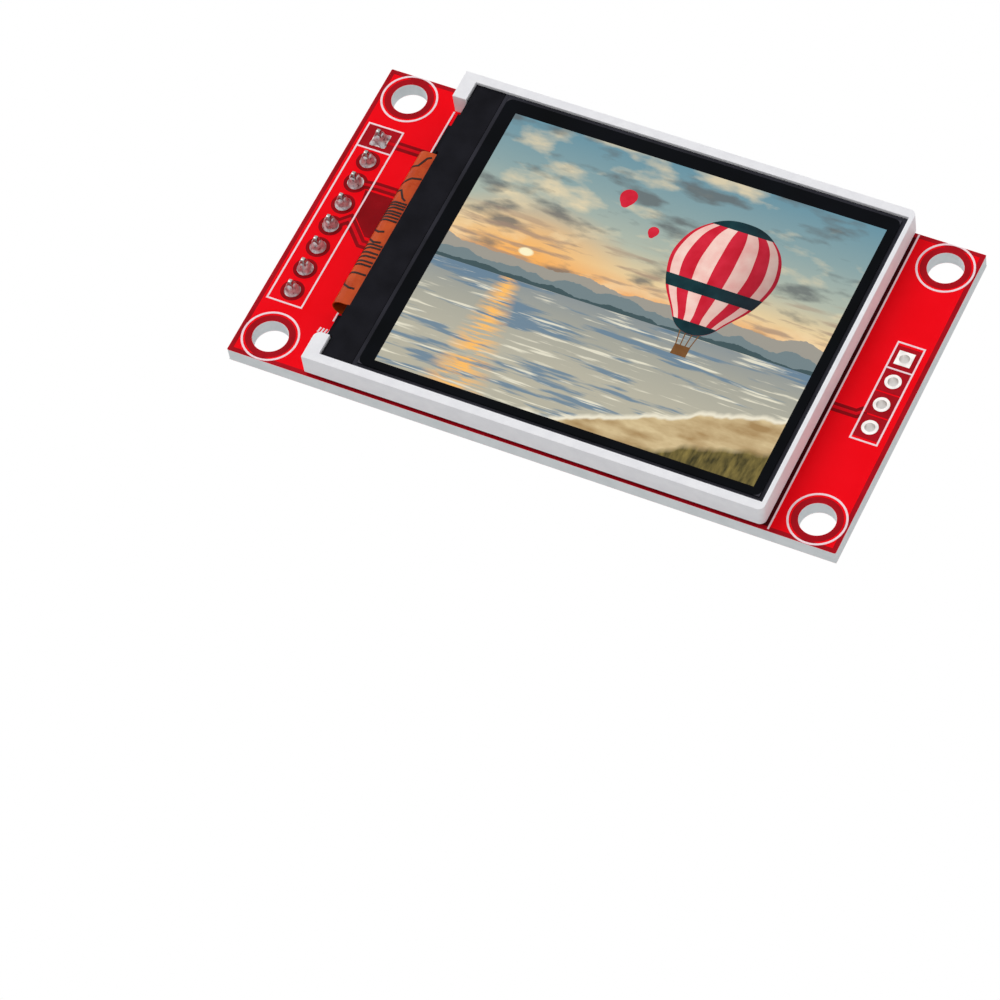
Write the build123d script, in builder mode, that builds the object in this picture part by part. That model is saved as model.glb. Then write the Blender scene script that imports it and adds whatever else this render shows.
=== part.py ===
from build123d import *
import os

# Small colour display module: a red circuit board with a screen on its front face, a pin header at
# one end and a memory card socket on its back face.
# Millimetres. X runs along the board with the header at -X, Z runs up the board and the screen
# faces -Y. The board's front face is y = 0, and the origin is the centre of the four mounting holes.

os.makedirs("parts", exist_ok=True)

# Circuit board: it reaches past the display frame on three sides, and the frame past it on the fourth
board_thickness = 1.5
board_corner = 0.15
board_left_margin = 7.65
board_right_margin = 6.65
board_low_margin = 0.2
frame_overhang = 0.5
mounting_hole = 3.3
hole_left_inset = 3.0
hole_right_inset = 2.8
hole_low_inset = 2.65
hole_high_inset = 2.55

# Copper pads and plated holes
pad_foil = 0.04
plating = 0.05

# Pin header
header_inset = 2.6
header_pitch = 2.54
header_count = 8
header_bore = 1.0
header_pad = 1.5
pin_side = 0.64
pin_point = 0.6
pin_point_inset = 0.15
pin_front_reach = 1.5
pin_back_reach = 8.3
housing_width = 2.5
housing_height = 2.5
housing_corner = 0.6
housing_gap = 0.06
solder_height = 0.95
solder_top = 0.5

# Row of four plated holes beside the screen
side_inset = 2.35
side_pitch = 2.54
side_count = 4
side_bore = 0.95
side_pad = 1.5

# Display frame: a moulded ring, open on its left where the ribbon cable folds round
tape_thickness = 0.3
frame_length = 43.9
frame_height = 33.6
frame_depth = 2.3
frame_corner = 0.6
frame_rim_long = 0.86
frame_rim_end = 0.42
ear_width = 1.4
ear_reach = 3.0
ear_round = 0.65
ledge_width = 0.6
lamp_bar_width = 3.7
lamp_bar_wall = 0.75
lamp_floor = 0.15
lamp_pocket_margin = 1.4

# Display layers, from the board outwards
reflector_thickness = 0.1
reflector_margin = 0.3
guide_thickness = 0.77
diffuser_thickness = 0.1
prism_thickness = 0.1
polariser_thickness = 0.13
polariser_margin = 0.4
polariser_step = 0.4
glass_thickness = 0.4
glass_gap = 0.05
film_gap = 0.1
driver_ledge = 2.95

# Driver chip, tape over it, ribbon cable and backlight lamps
driver_length = 16.0
driver_width = 1.0
driver_thickness = 0.32
driver_inset = 1.3
cover_tape_thickness = 0.08
tape_flap_top = 0.15
tape_flap_run = 0.95
tape_flap_foot = 0.3
tape_flap_gap = 0.15
tape_flap_ear_gap = 1.5
ribbon_thickness = 0.1
ribbon_width = 17.7
ribbon_z = -0.85
ribbon_bond = 0.85
ribbon_bulge = 0.95
ribbon_tail = 9.5
ribbon_joint_count = 14
ribbon_joint_pitch = 0.8
ribbon_joint = (1.6, 0.45)
ribbon_joint_height = 0.03
lamp_count = 4
lamp_size = (0.9, 3.0)
lamp_height = 0.6
lamp_gap = 0.15
lamp_strip_thickness = 0.1
lamp_strip_width = 2.4
lamp_strip_gap = 0.94
lamp_strip_end = 1.0

# Tape strips that hold the frame to the board
tape_width = 3.6
tape_end_gap = 1.95
tape_inset = 0.15

# Memory card socket: widths from its left and right sides, depths from its far end
socket_width = 26.29
socket_depth = 16.2
socket_height = 2.75
socket_right_inset = 12.64
socket_mouth_inset = 0.6
sheet = 0.2
sheet_bend = 0.35
wall_lift = 0.1
corner_step = 2.3
corner_depth = 5.25
corner_slope = 2.45
notch_left = (1.43, 0.7)
notch_right = (1.39, 1.05)
notch_depth = 0.65
window_inset = 1.93
window_width = 2.67
window_depth = (1.55, 10.8)
tongue_inset = 0.75
tongue_width = 1.2
tongue_depth = 5.8
tongue_drop = 0.85
tongue_run = 0.95
foot_width = 1.5
foot_reach = 1.1
foot_far_depth = 1.4
foot_near_inset = 0.85
wall_slot = (1.2, 4.0)
wall_slot_depths = (5.2, 11.2)

# Card socket base and its contact springs
base_gap = 0.05
base_lift = 0.05
base_floor = 0.4
base_overhang = 0.1
base_wall = 1.8
base_near_inset = 0.15
base_back_depth = 9.5
base_arm_left_width = 5.03
base_arm_right_width = 5.86
rail_left_width = 1.45
rail_right_width = 0.3
contact_count = 8
contact_side_gap = 3.61
last_contact_pitch = 1.48
detect_pitch = 1.31
protect_pitch = 1.26
switch_side_gap = 0.88
contact_gauge = 0.15
contact_width = 0.8
contact_bend = 0.5
contact_tail = 2.0
contact_rise_depth = 1.6
contact_bump = (5.4, 0.95)
contact_tip = (6.4, 0.6)
switch_bump = (3.6, 0.9)
switch_tip = (4.3, 0.65)
contact_slot_gap = 0.2

# Bare lands under the socket: a contact's, and under each foot its size and how far its centre lies
# beyond the foot's end
contact_land = (1.1, 1.3)
far_left_land = (1.25, 2.35, 0.54)
near_left_land = (2.6, 2.15, 0.27)
near_right_land = (3.33, 2.26, 0.0)
far_right_land = (1.9, 2.4, 0.49)
near_land_shift = 0.1

# Small parts on the back face: three resistors beside the socket, the rest beside the header
chip_length = 1.6
chip_width = 0.8
chip_height = 0.45
chip_cap = 0.32
chip_cap_wall = 0.04
chip_pad = (0.9, 0.9)
resistor_row_inset = 6.19
resistor_row_gap = 7.85
resistor_pitch = 2.56
resistor_from_header = (7.7, -6.24)
capacitor_from_header = (6.1, 11.2)
regulator_from_header = (6.5, 7.4)
regulator_body_size = (2.9, 1.3, 1.0)
regulator_lift = 0.1
regulator_draft = 7
lead_pitch = 0.95
lead_width = 0.4
lead_gauge = 0.12
lead_reach = 0.62
lead_foot = 0.35
lead_bend = 0.12
lead_level = 0.5
jumper_from_header = (10.35, 7.4)
jumper_pad = (1.25, 1.05)
jumper_pitch = 1.45

# Levels and edges that follow from the sizes above
board_length = board_left_margin + frame_length + board_right_margin
board_height = board_low_margin + frame_height - frame_overhang
mounting_x = board_length - hole_left_inset - hole_right_inset
mounting_z = board_height - hole_low_inset - hole_high_inset
board_left = -mounting_x / 2 - hole_left_inset
board_right = mounting_x / 2 + hole_right_inset
board_low = -mounting_z / 2 - hole_low_inset
board_high = mounting_z / 2 + hole_high_inset
header_x = board_left + header_inset
header_top_z = header_pitch * (header_count - 1) / 2
header_zs = [header_top_z - header_pitch * i for i in range(header_count)]
side_x = board_right - side_inset
frame_left = board_left + board_left_margin
frame_right = board_right - board_right_margin
frame_low = board_low + board_low_margin
frame_high = board_high + frame_overhang
pocket_left = frame_left + ear_width
pocket_right = frame_right - frame_rim_end
pocket_low = frame_low + frame_rim_long
pocket_high = frame_high - frame_rim_long
window_x = (pocket_left + lamp_bar_width, pocket_right - ledge_width)
window_z = (pocket_low + ledge_width, pocket_high - ledge_width)
frame_back = tape_thickness
guide_back = frame_back + reflector_thickness
diffuser_back = guide_back + guide_thickness
prism_back = diffuser_back + diffuser_thickness
rear_polariser_back = prism_back + prism_thickness
rear_glass_back = rear_polariser_back + polariser_thickness
front_glass_back = rear_glass_back + glass_thickness
front_polariser_back = front_glass_back + glass_thickness
frame_front = frame_back + frame_depth
lamp_level = frame_back + lamp_floor
socket_right = board_right - socket_right_inset
socket_left = socket_right - socket_width
socket_mouth = board_high - socket_mouth_inset
socket_far = socket_mouth - socket_depth
inner_left = socket_left + sheet
inner_right = socket_right - sheet
inner_height = socket_height - sheet
corner_x = socket_right - corner_step
corner_low = socket_far + corner_depth
corner_high = corner_low + corner_slope


def front(height):
    """A plane this far in front of the board's front face. Positive extrusions go to the viewer."""
    return Plane.XZ.offset(height)


def back(height):
    """A plane this far behind the board's back face. Negative extrusions go away from the board."""
    return Plane.XZ.offset(-(board_thickness + height))


def rectangle(left, right, low, high, mode=Mode.ADD):
    """A rectangle in the current sketch, given by its edges."""
    with Locations(((left + right) / 2, (low + high) / 2)):
        Rectangle(right - left, high - low, mode=mode)


def flat_sheet(left, right, low, high, level, thickness):
    """A flat sheet in front of the board, its back face at this level."""
    with BuildPart() as piece:
        with BuildSketch(front(level)):
            rectangle(left, right, low, high)
        extrude(amount=thickness)
    return piece


def plated_holes(x, pitch, count, drill, pad, back_pads):
    """A row of pads on the front of the board, and on its back if told, joined by plugs as wide as the
    drilled holes. The top hole's pads are square."""
    top_z = pitch * (count - 1) / 2
    with BuildPart() as row:
        for plane, amount in ((front(0), pad_foil), (back(0), -pad_foil))[: 1 + back_pads]:
            with BuildSketch(plane):
                with Locations((x, 0)), GridLocations(0, pitch, 1, count):
                    Circle(pad / 2)
                with Locations((x, top_z)):
                    Rectangle(pad, pad)
            extrude(amount=amount)
        with BuildSketch(front(0)):
            with Locations((x, 0)), GridLocations(0, pitch, 1, count):
                Circle(drill / 2)
        extrude(amount=-board_thickness)
    return row.part


# Circuit board, with every drilled hole
with BuildPart() as circuit_board:
    with BuildSketch(front(0)):
        with Locations(((board_left + board_right) / 2, (board_low + board_high) / 2)):
            RectangleRounded(board_length, board_height, board_corner)
        with GridLocations(mounting_x, mounting_z, 2, 2):
            Circle(mounting_hole / 2, mode=Mode.SUBTRACT)
        with Locations((header_x, 0)), GridLocations(0, header_pitch, 1, header_count):
            Circle(header_bore / 2 + plating, mode=Mode.SUBTRACT)
        with Locations((side_x, 0)), GridLocations(0, side_pitch, 1, side_count):
            Circle(side_bore / 2 + plating, mode=Mode.SUBTRACT)
    extrude(amount=-board_thickness)
circuit_board.part.label = "circuit_board"
export_step(circuit_board.part, "parts/circuit_board.step")

# Plated holes of the header, filled with solder round the square pins
with BuildPart() as header_barrels:
    add(plated_holes(header_x, header_pitch, header_count, header_bore + 2 * plating, header_pad, False))
    with BuildSketch(front(pad_foil)):
        with Locations((header_x, 0)), GridLocations(0, header_pitch, 1, header_count):
            Rectangle(pin_side, pin_side)
    extrude(amount=-(board_thickness + pad_foil), mode=Mode.SUBTRACT)
header_barrels.part.label = "header_barrels"
export_step(header_barrels.part, "parts/header_barrels.step")

# Plated holes of the row beside the screen, left open
with BuildPart() as side_barrels:
    add(plated_holes(side_x, side_pitch, side_count, side_bore + 2 * plating, side_pad, True))
    with BuildSketch(front(pad_foil)):
        with Locations((side_x, 0)), GridLocations(0, side_pitch, 1, side_count):
            Circle(side_bore / 2)
    extrude(amount=-(board_thickness + 2 * pad_foil), mode=Mode.SUBTRACT)
side_barrels.part.label = "side_barrels"
export_step(side_barrels.part, "parts/side_barrels.step")

# Header housing: a strip of eight-sided cells that snap apart, with a square hole for each pin
with BuildPart() as header_housing:
    with BuildSketch(back(housing_gap)):
        with Locations((header_x, 0)), GridLocations(0, header_pitch, 1, header_count):
            side = housing_width / 2
            end = header_pitch / 2
            Polygon(
                (side, end - housing_corner),
                (side - housing_corner, end),
                (housing_corner - side, end),
                (-side, end - housing_corner),
                (-side, housing_corner - end),
                (housing_corner - side, -end),
                (side - housing_corner, -end),
                (side, housing_corner - end),
            )
        with Locations((header_x, 0)), GridLocations(0, header_pitch, 1, header_count):
            Rectangle(pin_side, pin_side, mode=Mode.SUBTRACT)
    extrude(amount=-(housing_height - housing_gap))
header_housing.part.label = "header_housing"
export_step(header_housing.part, "parts/header_housing.step")

# Header pins: square wire with a tapered point at each end
for number, pin_z in enumerate(header_zs, start=1):
    with BuildPart() as header_pin:
        with BuildSketch(front(pin_front_reach)):
            with Locations((header_x, pin_z)):
                Rectangle(pin_side, pin_side)
        extrude(amount=-(pin_front_reach + board_thickness + pin_back_reach))
        for tip in (faces().sort_by(Axis.Y)[0], faces().sort_by(Axis.Y)[-1]):
            chamfer(tip.edges(), length=pin_point_inset, length2=pin_point, reference=tip)
    header_pin.part.label = f"header_pin_{number}"
    export_step(header_pin.part, f"parts/header_pin_{number}.step")

# Solder joints: a cone on each pad that climbs the pin in front of the board
solder_foot = header_pad / 2 - plating
with BuildPart() as header_solder:
    for pin_z in header_zs:
        with BuildSketch(Plane.XY.offset(pin_z)):
            Polygon(
                (header_x, -pad_foil),
                (header_x + solder_foot, -pad_foil),
                (header_x + solder_top, -solder_height),
                (header_x, -solder_height),
                align=None,
            )
        revolve(axis=Axis((header_x, 0, pin_z), (0, 1, 0)))
    with BuildSketch(front(solder_height)):
        with Locations((header_x, 0)), GridLocations(0, header_pitch, 1, header_count):
            Rectangle(pin_side, pin_side)
    extrude(amount=-solder_height, mode=Mode.SUBTRACT)
header_solder.part.label = "header_solder"
export_step(header_solder.part, "parts/header_solder.step")

# Display frame: rims on three sides, two ears at the open side, a ledge for the glass, a bar for
# the backlight lamps and a shallow recess behind for the reflector
with BuildPart() as display_frame:
    with BuildSketch(front(frame_back)) as frame_outline:
        rectangle(frame_left, frame_right, frame_low, frame_high)
        right_corners = frame_outline.vertices().group_by(Axis.X)[-1]
        fillet(right_corners, frame_corner)
        rectangle(frame_left, pocket_left, frame_low + ear_reach, frame_high - ear_reach, Mode.SUBTRACT)
    extrude(amount=frame_depth)
    lower_ear = frame_low + ear_reach
    ear_tip = [
        edge
        for edge in edges().filter_by(Axis.Y)
        if abs(edge.center().X - frame_left) < ear_round and abs(edge.center().Z - lower_ear) < ear_round
    ]
    fillet(ear_tip, ear_round)
    with BuildSketch(front(rear_glass_back)):
        rectangle(pocket_left - glass_gap, pocket_right, pocket_low, pocket_high)
    extrude(amount=frame_front - rear_glass_back, mode=Mode.SUBTRACT)
    with BuildSketch(front(frame_back)):
        rectangle(*window_x, *window_z)
    extrude(amount=frame_depth, mode=Mode.SUBTRACT)
    with BuildSketch(front(lamp_level)):
        rectangle(
            pocket_left + lamp_bar_wall,
            window_x[0],
            window_z[0] + lamp_pocket_margin,
            window_z[1] - lamp_pocket_margin,
        )
    extrude(amount=frame_depth, mode=Mode.SUBTRACT)
    with BuildSketch(front(frame_back)):
        rectangle(
            window_x[0] - reflector_margin,
            window_x[1] + reflector_margin,
            window_z[0] - reflector_margin,
            window_z[1] + reflector_margin,
        )
    extrude(amount=reflector_thickness, mode=Mode.SUBTRACT)
display_frame.part.label = "display_frame"
export_step(display_frame.part, "parts/display_frame.step")

# Tape strips between the frame and the board
for name, tape_z in (
    ("tape_strip_high", board_high - tape_inset - tape_width / 2),
    ("tape_strip_low", frame_low + tape_inset + tape_width / 2),
):
    tape_strip = flat_sheet(
        frame_left + tape_end_gap,
        frame_right - tape_end_gap,
        tape_z - tape_width / 2,
        tape_z + tape_width / 2,
        0,
        tape_thickness,
    )
    tape_strip.part.label = name
    export_step(tape_strip.part, f"parts/{name}.step")

# Backlight: reflector, light guide and films, stacked in the frame's window
film_edges = (
    window_x[0] + film_gap,
    window_x[1] - film_gap,
    window_z[0] + film_gap,
    window_z[1] - film_gap,
)
reflector_grow = reflector_margin - film_gap
reflector_sheet = flat_sheet(
    window_x[0] - reflector_grow,
    window_x[1] + reflector_grow,
    window_z[0] - reflector_grow,
    window_z[1] + reflector_grow,
    frame_back,
    reflector_thickness,
)
reflector_sheet.part.label = "reflector_sheet"
export_step(reflector_sheet.part, "parts/reflector_sheet.step")
light_guide = flat_sheet(*film_edges, guide_back, guide_thickness)
light_guide.part.label = "light_guide"
export_step(light_guide.part, "parts/light_guide.step")
diffuser_sheet = flat_sheet(*film_edges, diffuser_back, diffuser_thickness)
diffuser_sheet.part.label = "diffuser_sheet"
export_step(diffuser_sheet.part, "parts/diffuser_sheet.step")
prism_sheet = flat_sheet(*film_edges, prism_back, prism_thickness)
prism_sheet.part.label = "prism_sheet"
export_step(prism_sheet.part, "parts/prism_sheet.step")

# Backlight lamps on their strip, shining into the light guide's edge
lamp_right = window_x[0] - lamp_gap
lamp_z = (window_z[0] + window_z[1]) / 2
lamp_strip_half = (window_z[1] - window_z[0]) / 2 - lamp_pocket_margin - lamp_strip_gap
lamp_pitch = (2 * (lamp_strip_half - lamp_strip_end) - lamp_size[1]) / (lamp_count - 1)
lamp_strip = flat_sheet(
    lamp_right - lamp_strip_width,
    lamp_right,
    lamp_z - lamp_strip_half,
    lamp_z + lamp_strip_half,
    lamp_level,
    lamp_strip_thickness,
)
lamp_strip.part.label = "lamp_strip"
export_step(lamp_strip.part, "parts/lamp_strip.step")
for number in range(1, lamp_count + 1):
    this_z = lamp_z + lamp_pitch * ((lamp_count + 1) / 2 - number)
    backlight_lamp = flat_sheet(
        lamp_right - lamp_size[0],
        lamp_right,
        this_z - lamp_size[1] / 2,
        this_z + lamp_size[1] / 2,
        lamp_level + lamp_strip_thickness,
        lamp_height,
    )
    backlight_lamp.part.label = f"backlight_lamp_{number}"
    export_step(backlight_lamp.part, f"parts/backlight_lamp_{number}.step")

# Liquid crystal cell: two glasses with a polariser outside each; the rear glass is longer
glass_left = pocket_left + glass_gap
glass_right = pocket_right - glass_gap
glass_low = pocket_low + glass_gap
glass_high = pocket_high - glass_gap
front_glass_left = glass_left + driver_ledge
rear_polariser = flat_sheet(*film_edges, rear_polariser_back, polariser_thickness)
rear_polariser.part.label = "rear_polariser"
export_step(rear_polariser.part, "parts/rear_polariser.step")
rear_glass = flat_sheet(glass_left, glass_right, glass_low, glass_high, rear_glass_back, glass_thickness)
rear_glass.part.label = "rear_glass"
export_step(rear_glass.part, "parts/rear_glass.step")
front_glass = flat_sheet(
    front_glass_left, glass_right, glass_low, glass_high, front_glass_back, glass_thickness
)
front_glass.part.label = "front_glass"
export_step(front_glass.part, "parts/front_glass.step")
front_polariser = flat_sheet(
    front_glass_left + polariser_step,
    glass_right - polariser_margin,
    glass_low + polariser_margin,
    glass_high - polariser_margin,
    front_polariser_back,
    polariser_thickness,
)
front_polariser.part.label = "front_polariser"
export_step(front_polariser.part, "parts/front_polariser.step")

# Driver chip on the rear glass's ledge, and the black tape over it, whose two flaps fold down to the
# board above and below the ribbon cable
driver_z = (glass_low + glass_high) / 2
driver_chip = flat_sheet(
    glass_left + driver_inset,
    glass_left + driver_inset + driver_width,
    driver_z - driver_length / 2,
    driver_z + driver_length / 2,
    front_glass_back,
    driver_thickness,
)
driver_chip.part.label = "driver_chip"
export_step(driver_chip.part, "parts/driver_chip.step")
flap_level = front_glass_back + driver_thickness
flap_edge = pocket_left - tape_flap_top
flap_foot = flap_edge - tape_flap_run
with BuildPart() as ledge_tape:
    with BuildSketch(front(flap_level)):
        rectangle(glass_left, front_glass_left - glass_gap, glass_low, glass_high)
    extrude(amount=cover_tape_thickness)
    for flap_low, flap_high in (
        (frame_low + ear_reach + tape_flap_gap, ribbon_z - ribbon_width / 2 - tape_flap_gap),
        (ribbon_z + ribbon_width / 2 + tape_flap_gap, frame_high - ear_reach - tape_flap_ear_gap),
    ):
        with BuildSketch(Plane.XY.offset(flap_low)):
            Polygon(
                (glass_left, -flap_level),
                (glass_left, -flap_level - cover_tape_thickness),
                (flap_edge, -flap_level - cover_tape_thickness),
                (flap_foot, -cover_tape_thickness),
                (flap_foot - tape_flap_foot, -cover_tape_thickness),
                (flap_foot - tape_flap_foot, 0),
                (flap_foot + cover_tape_thickness / 2, 0),
                (flap_edge + cover_tape_thickness / 2, -flap_level),
                align=None,
            )
        extrude(amount=flap_high - flap_low)
ledge_tape.part.label = "ledge_tape"
export_step(ledge_tape.part, "parts/ledge_tape.step")

# Ribbon cable: bonded to the rear glass's ledge, folded round the open side and soldered to the
# board under the display
with BuildPart() as ribbon_cable:
    ribbon_front = -(front_glass_back + ribbon_thickness)
    ribbon_back = -ribbon_joint_height
    fold_x = pocket_left - ribbon_bulge
    fold_radius = (ribbon_back - ribbon_front) / 2
    fold_middle = (ribbon_back + ribbon_front) / 2
    inner_radius = fold_radius - ribbon_thickness
    bond_x = glass_left + ribbon_bond
    ribbon_tail_end = fold_x + ribbon_tail
    with BuildSketch(Plane.XY.offset(ribbon_z)):
        with BuildLine():
            Line((bond_x, ribbon_front), (fold_x, ribbon_front))
            ThreePointArc(
                (fold_x, ribbon_front),
                (fold_x - fold_radius, fold_middle),
                (fold_x, ribbon_back),
            )
            Polyline(
                (fold_x, ribbon_back),
                (ribbon_tail_end, ribbon_back),
                (ribbon_tail_end, ribbon_back - ribbon_thickness),
                (fold_x, ribbon_back - ribbon_thickness),
            )
            ThreePointArc(
                (fold_x, ribbon_back - ribbon_thickness),
                (fold_x - inner_radius, fold_middle),
                (fold_x, ribbon_front + ribbon_thickness),
            )
            Polyline(
                (fold_x, ribbon_front + ribbon_thickness),
                (bond_x, ribbon_front + ribbon_thickness),
                (bond_x, ribbon_front),
            )
        make_face()
    extrude(amount=ribbon_width / 2, both=True)
ribbon_cable.part.label = "ribbon_cable"
export_step(ribbon_cable.part, "parts/ribbon_cable.step")

# Solder joints under the ribbon cable's end
with BuildPart() as ribbon_solder:
    with BuildSketch(front(0)):
        joint_x = ribbon_tail_end - ribbon_joint[0] / 2
        with Locations((joint_x, ribbon_z)), GridLocations(0, ribbon_joint_pitch, 1, ribbon_joint_count):
            Rectangle(*ribbon_joint)
    extrude(amount=ribbon_joint_height)
ribbon_solder.part.label = "ribbon_solder"
export_step(ribbon_solder.part, "parts/ribbon_solder.step")

# Card socket shield: one sheet folded down at both sides, with a chamfered corner, a sprung tongue
# in a window, two notches at the mouth and four soldered feet
roof_y = board_thickness + socket_height
window_left = socket_left + window_inset
window_right = window_left + window_width
window_far, window_near = (socket_far + depth for depth in window_depth)
tongue_left = window_left + tongue_inset
tongue_right = tongue_left + tongue_width
tongue_tip = socket_far + tongue_depth
foot_far_z = socket_far + foot_far_depth
foot_near_z = socket_mouth - foot_near_inset
with BuildPart() as card_shield:
    with BuildSketch(Plane.XY.offset(socket_far)):
        with BuildLine():
            FilletPolyline(
                (socket_left, board_thickness + wall_lift),
                (socket_left, roof_y),
                (socket_right, roof_y),
                (socket_right, board_thickness + wall_lift),
                radius=sheet_bend,
            )
            offset(amount=sheet, side=Side.RIGHT)
        make_face()
    extrude(amount=socket_mouth - socket_far)
    with BuildSketch(back(socket_height)):
        Polygon(
            (corner_x, socket_far),
            (socket_right, socket_far),
            (socket_right, corner_high),
            (corner_x, corner_low),
            align=None,
        )
        for notch_x, notch_width in (
            (socket_left + notch_left[0], notch_left[1]),
            (socket_right - notch_right[0], notch_right[1]),
        ):
            notch_end = socket_mouth - notch_depth + notch_width / 2
            rectangle(notch_x - notch_width / 2, notch_x + notch_width / 2, notch_end, socket_mouth)
            with Locations((notch_x, notch_end)):
                Circle(notch_width / 2)
    extrude(amount=socket_height, mode=Mode.SUBTRACT)
    with BuildSketch(back(socket_height)):
        rectangle(window_left, window_right, window_far, tongue_tip)
        for leg_left, leg_right in ((window_left, tongue_left), (tongue_right, window_right)):
            leg_round = (leg_right - leg_left) / 2
            rectangle(leg_left, leg_right, tongue_tip, window_near - leg_round)
            with Locations(((leg_left + leg_right) / 2, window_near - leg_round)):
                Circle(leg_round)
    extrude(amount=sheet, mode=Mode.SUBTRACT)
    with BuildSketch(Plane.YZ.offset((tongue_left + tongue_right) / 2)):
        Polygon(
            (roof_y, tongue_tip),
            (roof_y - tongue_drop, tongue_tip - tongue_run),
            (roof_y - tongue_drop - sheet, tongue_tip - tongue_run + sheet / 2),
            (roof_y - sheet, tongue_tip + sheet / 2),
            (roof_y, tongue_tip + sheet / 2),
            align=None,
        )
    extrude(amount=(tongue_right - tongue_left) / 2, both=True)
    with BuildSketch(Plane.YZ.offset(socket_left)):
        for slot_depth in wall_slot_depths:
            with Locations((board_thickness + socket_height / 2, socket_far + slot_depth)):
                Rectangle(*wall_slot)
    extrude(amount=sheet, both=True, mode=Mode.SUBTRACT)
    with BuildSketch(back(pad_foil)):
        for inner_x, outer_x, foot_z in (
            (inner_left, socket_left - foot_reach, foot_far_z),
            (inner_left, socket_left - foot_reach, foot_near_z),
            (inner_right, socket_right + foot_reach, foot_near_z),
            (corner_x - sheet, corner_x + foot_reach, foot_far_z),
        ):
            with Locations(((inner_x + outer_x) / 2, foot_z)):
                Rectangle(abs(outer_x - inner_x), foot_width)
    extrude(amount=-sheet)
    with BuildSketch(back(pad_foil)):
        rectangle(corner_x - sheet, corner_x, foot_far_z - foot_width / 2, foot_far_z + foot_width / 2)
    extrude(amount=-(inner_height - pad_foil))
card_shield.part.label = "card_shield"
export_step(card_shield.part, "parts/card_shield.step")

# Card socket base: a moulded floor with two arms and guide rails, a wall behind the card and a
# slot for every contact spring
protect_x = socket_left + switch_side_gap
detect_x = protect_x + protect_pitch
last_contact_x = detect_x + detect_pitch
first_contact_x = socket_right - contact_side_gap
contact_pitch = (first_contact_x - last_contact_x - last_contact_pitch) / (contact_count - 1)
contact_xs = [first_contact_x - contact_pitch * i for i in range(contact_count)] + [last_contact_x]
all_contacts = [(x, contact_bump, contact_tip) for x in contact_xs]
all_contacts += [(x, switch_bump, switch_tip) for x in (detect_x, protect_x)]
base_far = socket_far - base_overhang
base_near = socket_mouth - base_near_inset
base_back_z = socket_far + base_back_depth
base_arm_left = socket_left + base_arm_left_width
base_arm_right = socket_right - base_arm_right_width
base_left = inner_left + base_gap
base_right = inner_right - base_gap
base_corner = corner_x - sheet - base_gap
base_top = inner_height - base_gap - base_lift
with BuildPart() as card_base:
    with BuildSketch(back(base_lift)):
        Polygon(
            (base_left, base_far),
            (base_corner, base_far),
            (base_corner, corner_low),
            (base_right, corner_high + sheet),
            (base_right, base_near),
            (base_arm_right, base_near),
            (base_arm_right, base_back_z),
            (base_arm_left, base_back_z),
            (base_arm_left, base_near),
            (base_left, base_near),
            align=None,
        )
    extrude(amount=-base_floor)
    with BuildSketch(back(base_lift)):
        rectangle(base_left, base_corner, base_far, base_far + base_wall)
        rectangle(base_left, base_left + rail_left_width, base_far, base_near)
        rectangle(base_right - rail_right_width, base_right, corner_high + sheet, base_near)
    extrude(amount=-base_top)
    with BuildSketch(back(0)):
        for x, bump, tip in all_contacts:
            slot_half = contact_width / 2 + contact_slot_gap / 2
            rectangle(x - slot_half, x + slot_half, base_far, socket_far + tip[0] + contact_slot_gap)
    extrude(amount=-(contact_bump[1] + contact_gauge + contact_slot_gap), mode=Mode.SUBTRACT)
card_base.part.label = "card_base"
export_step(card_base.part, "parts/card_base.step")


def contact_spring(x, bump, tip):
    """A contact spring: a flat tail on its land, a rising arm and a rounded bump that meets the card."""
    level = board_thickness + pad_foil
    half = contact_gauge / 2
    with BuildPart() as spring:
        with BuildSketch(Plane.YZ.offset(x)):
            with BuildLine():
                FilletPolyline(
                    (level, socket_far - contact_tail),
                    (level, socket_far + contact_rise_depth),
                    (level + bump[1] - half, socket_far + bump[0]),
                    (level + tip[1] - half, socket_far + tip[0]),
                    radius=contact_bend,
                )
                offset(amount=contact_gauge, side=Side.RIGHT)
            make_face()
        extrude(amount=contact_width / 2, both=True)
    return spring


for number, (x, bump, tip) in enumerate(all_contacts[: len(contact_xs)], start=1):
    card_contact = contact_spring(x, bump, tip)
    card_contact.part.label = f"card_contact_{number}"
    export_step(card_contact.part, f"parts/card_contact_{number}.step")
detect_spring = contact_spring(detect_x, switch_bump, switch_tip)
detect_spring.part.label = "detect_spring"
export_step(detect_spring.part, "parts/detect_spring.step")
protect_spring = contact_spring(protect_x, switch_bump, switch_tip)
protect_spring.part.label = "protect_spring"
export_step(protect_spring.part, "parts/protect_spring.step")

# Chip resistors and capacitor: a ceramic body with a metal cap wrapped round each end
resistor_row_x = socket_right - resistor_row_inset
resistor_row_z = socket_far - resistor_row_gap
resistor_places = [(resistor_row_x - resistor_pitch * i, resistor_row_z, 90) for i in range(3)]
resistor_places.append((header_x + resistor_from_header[0], resistor_from_header[1], 0))
capacitor_place = (header_x + capacitor_from_header[0], capacitor_from_header[1], 0)
chip_places = resistor_places + [capacitor_place]
chip_level = pad_foil + chip_cap_wall


def chip_body(x, z, angle):
    """A ceramic chip body that stands clear of the board on its caps."""
    with BuildPart() as body:
        with BuildSketch(back(chip_level)):
            with Locations(Location((x, z), angle)):
                Rectangle(chip_length - 2 * chip_cap_wall, chip_width)
        extrude(amount=-chip_height)
    return body


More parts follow.
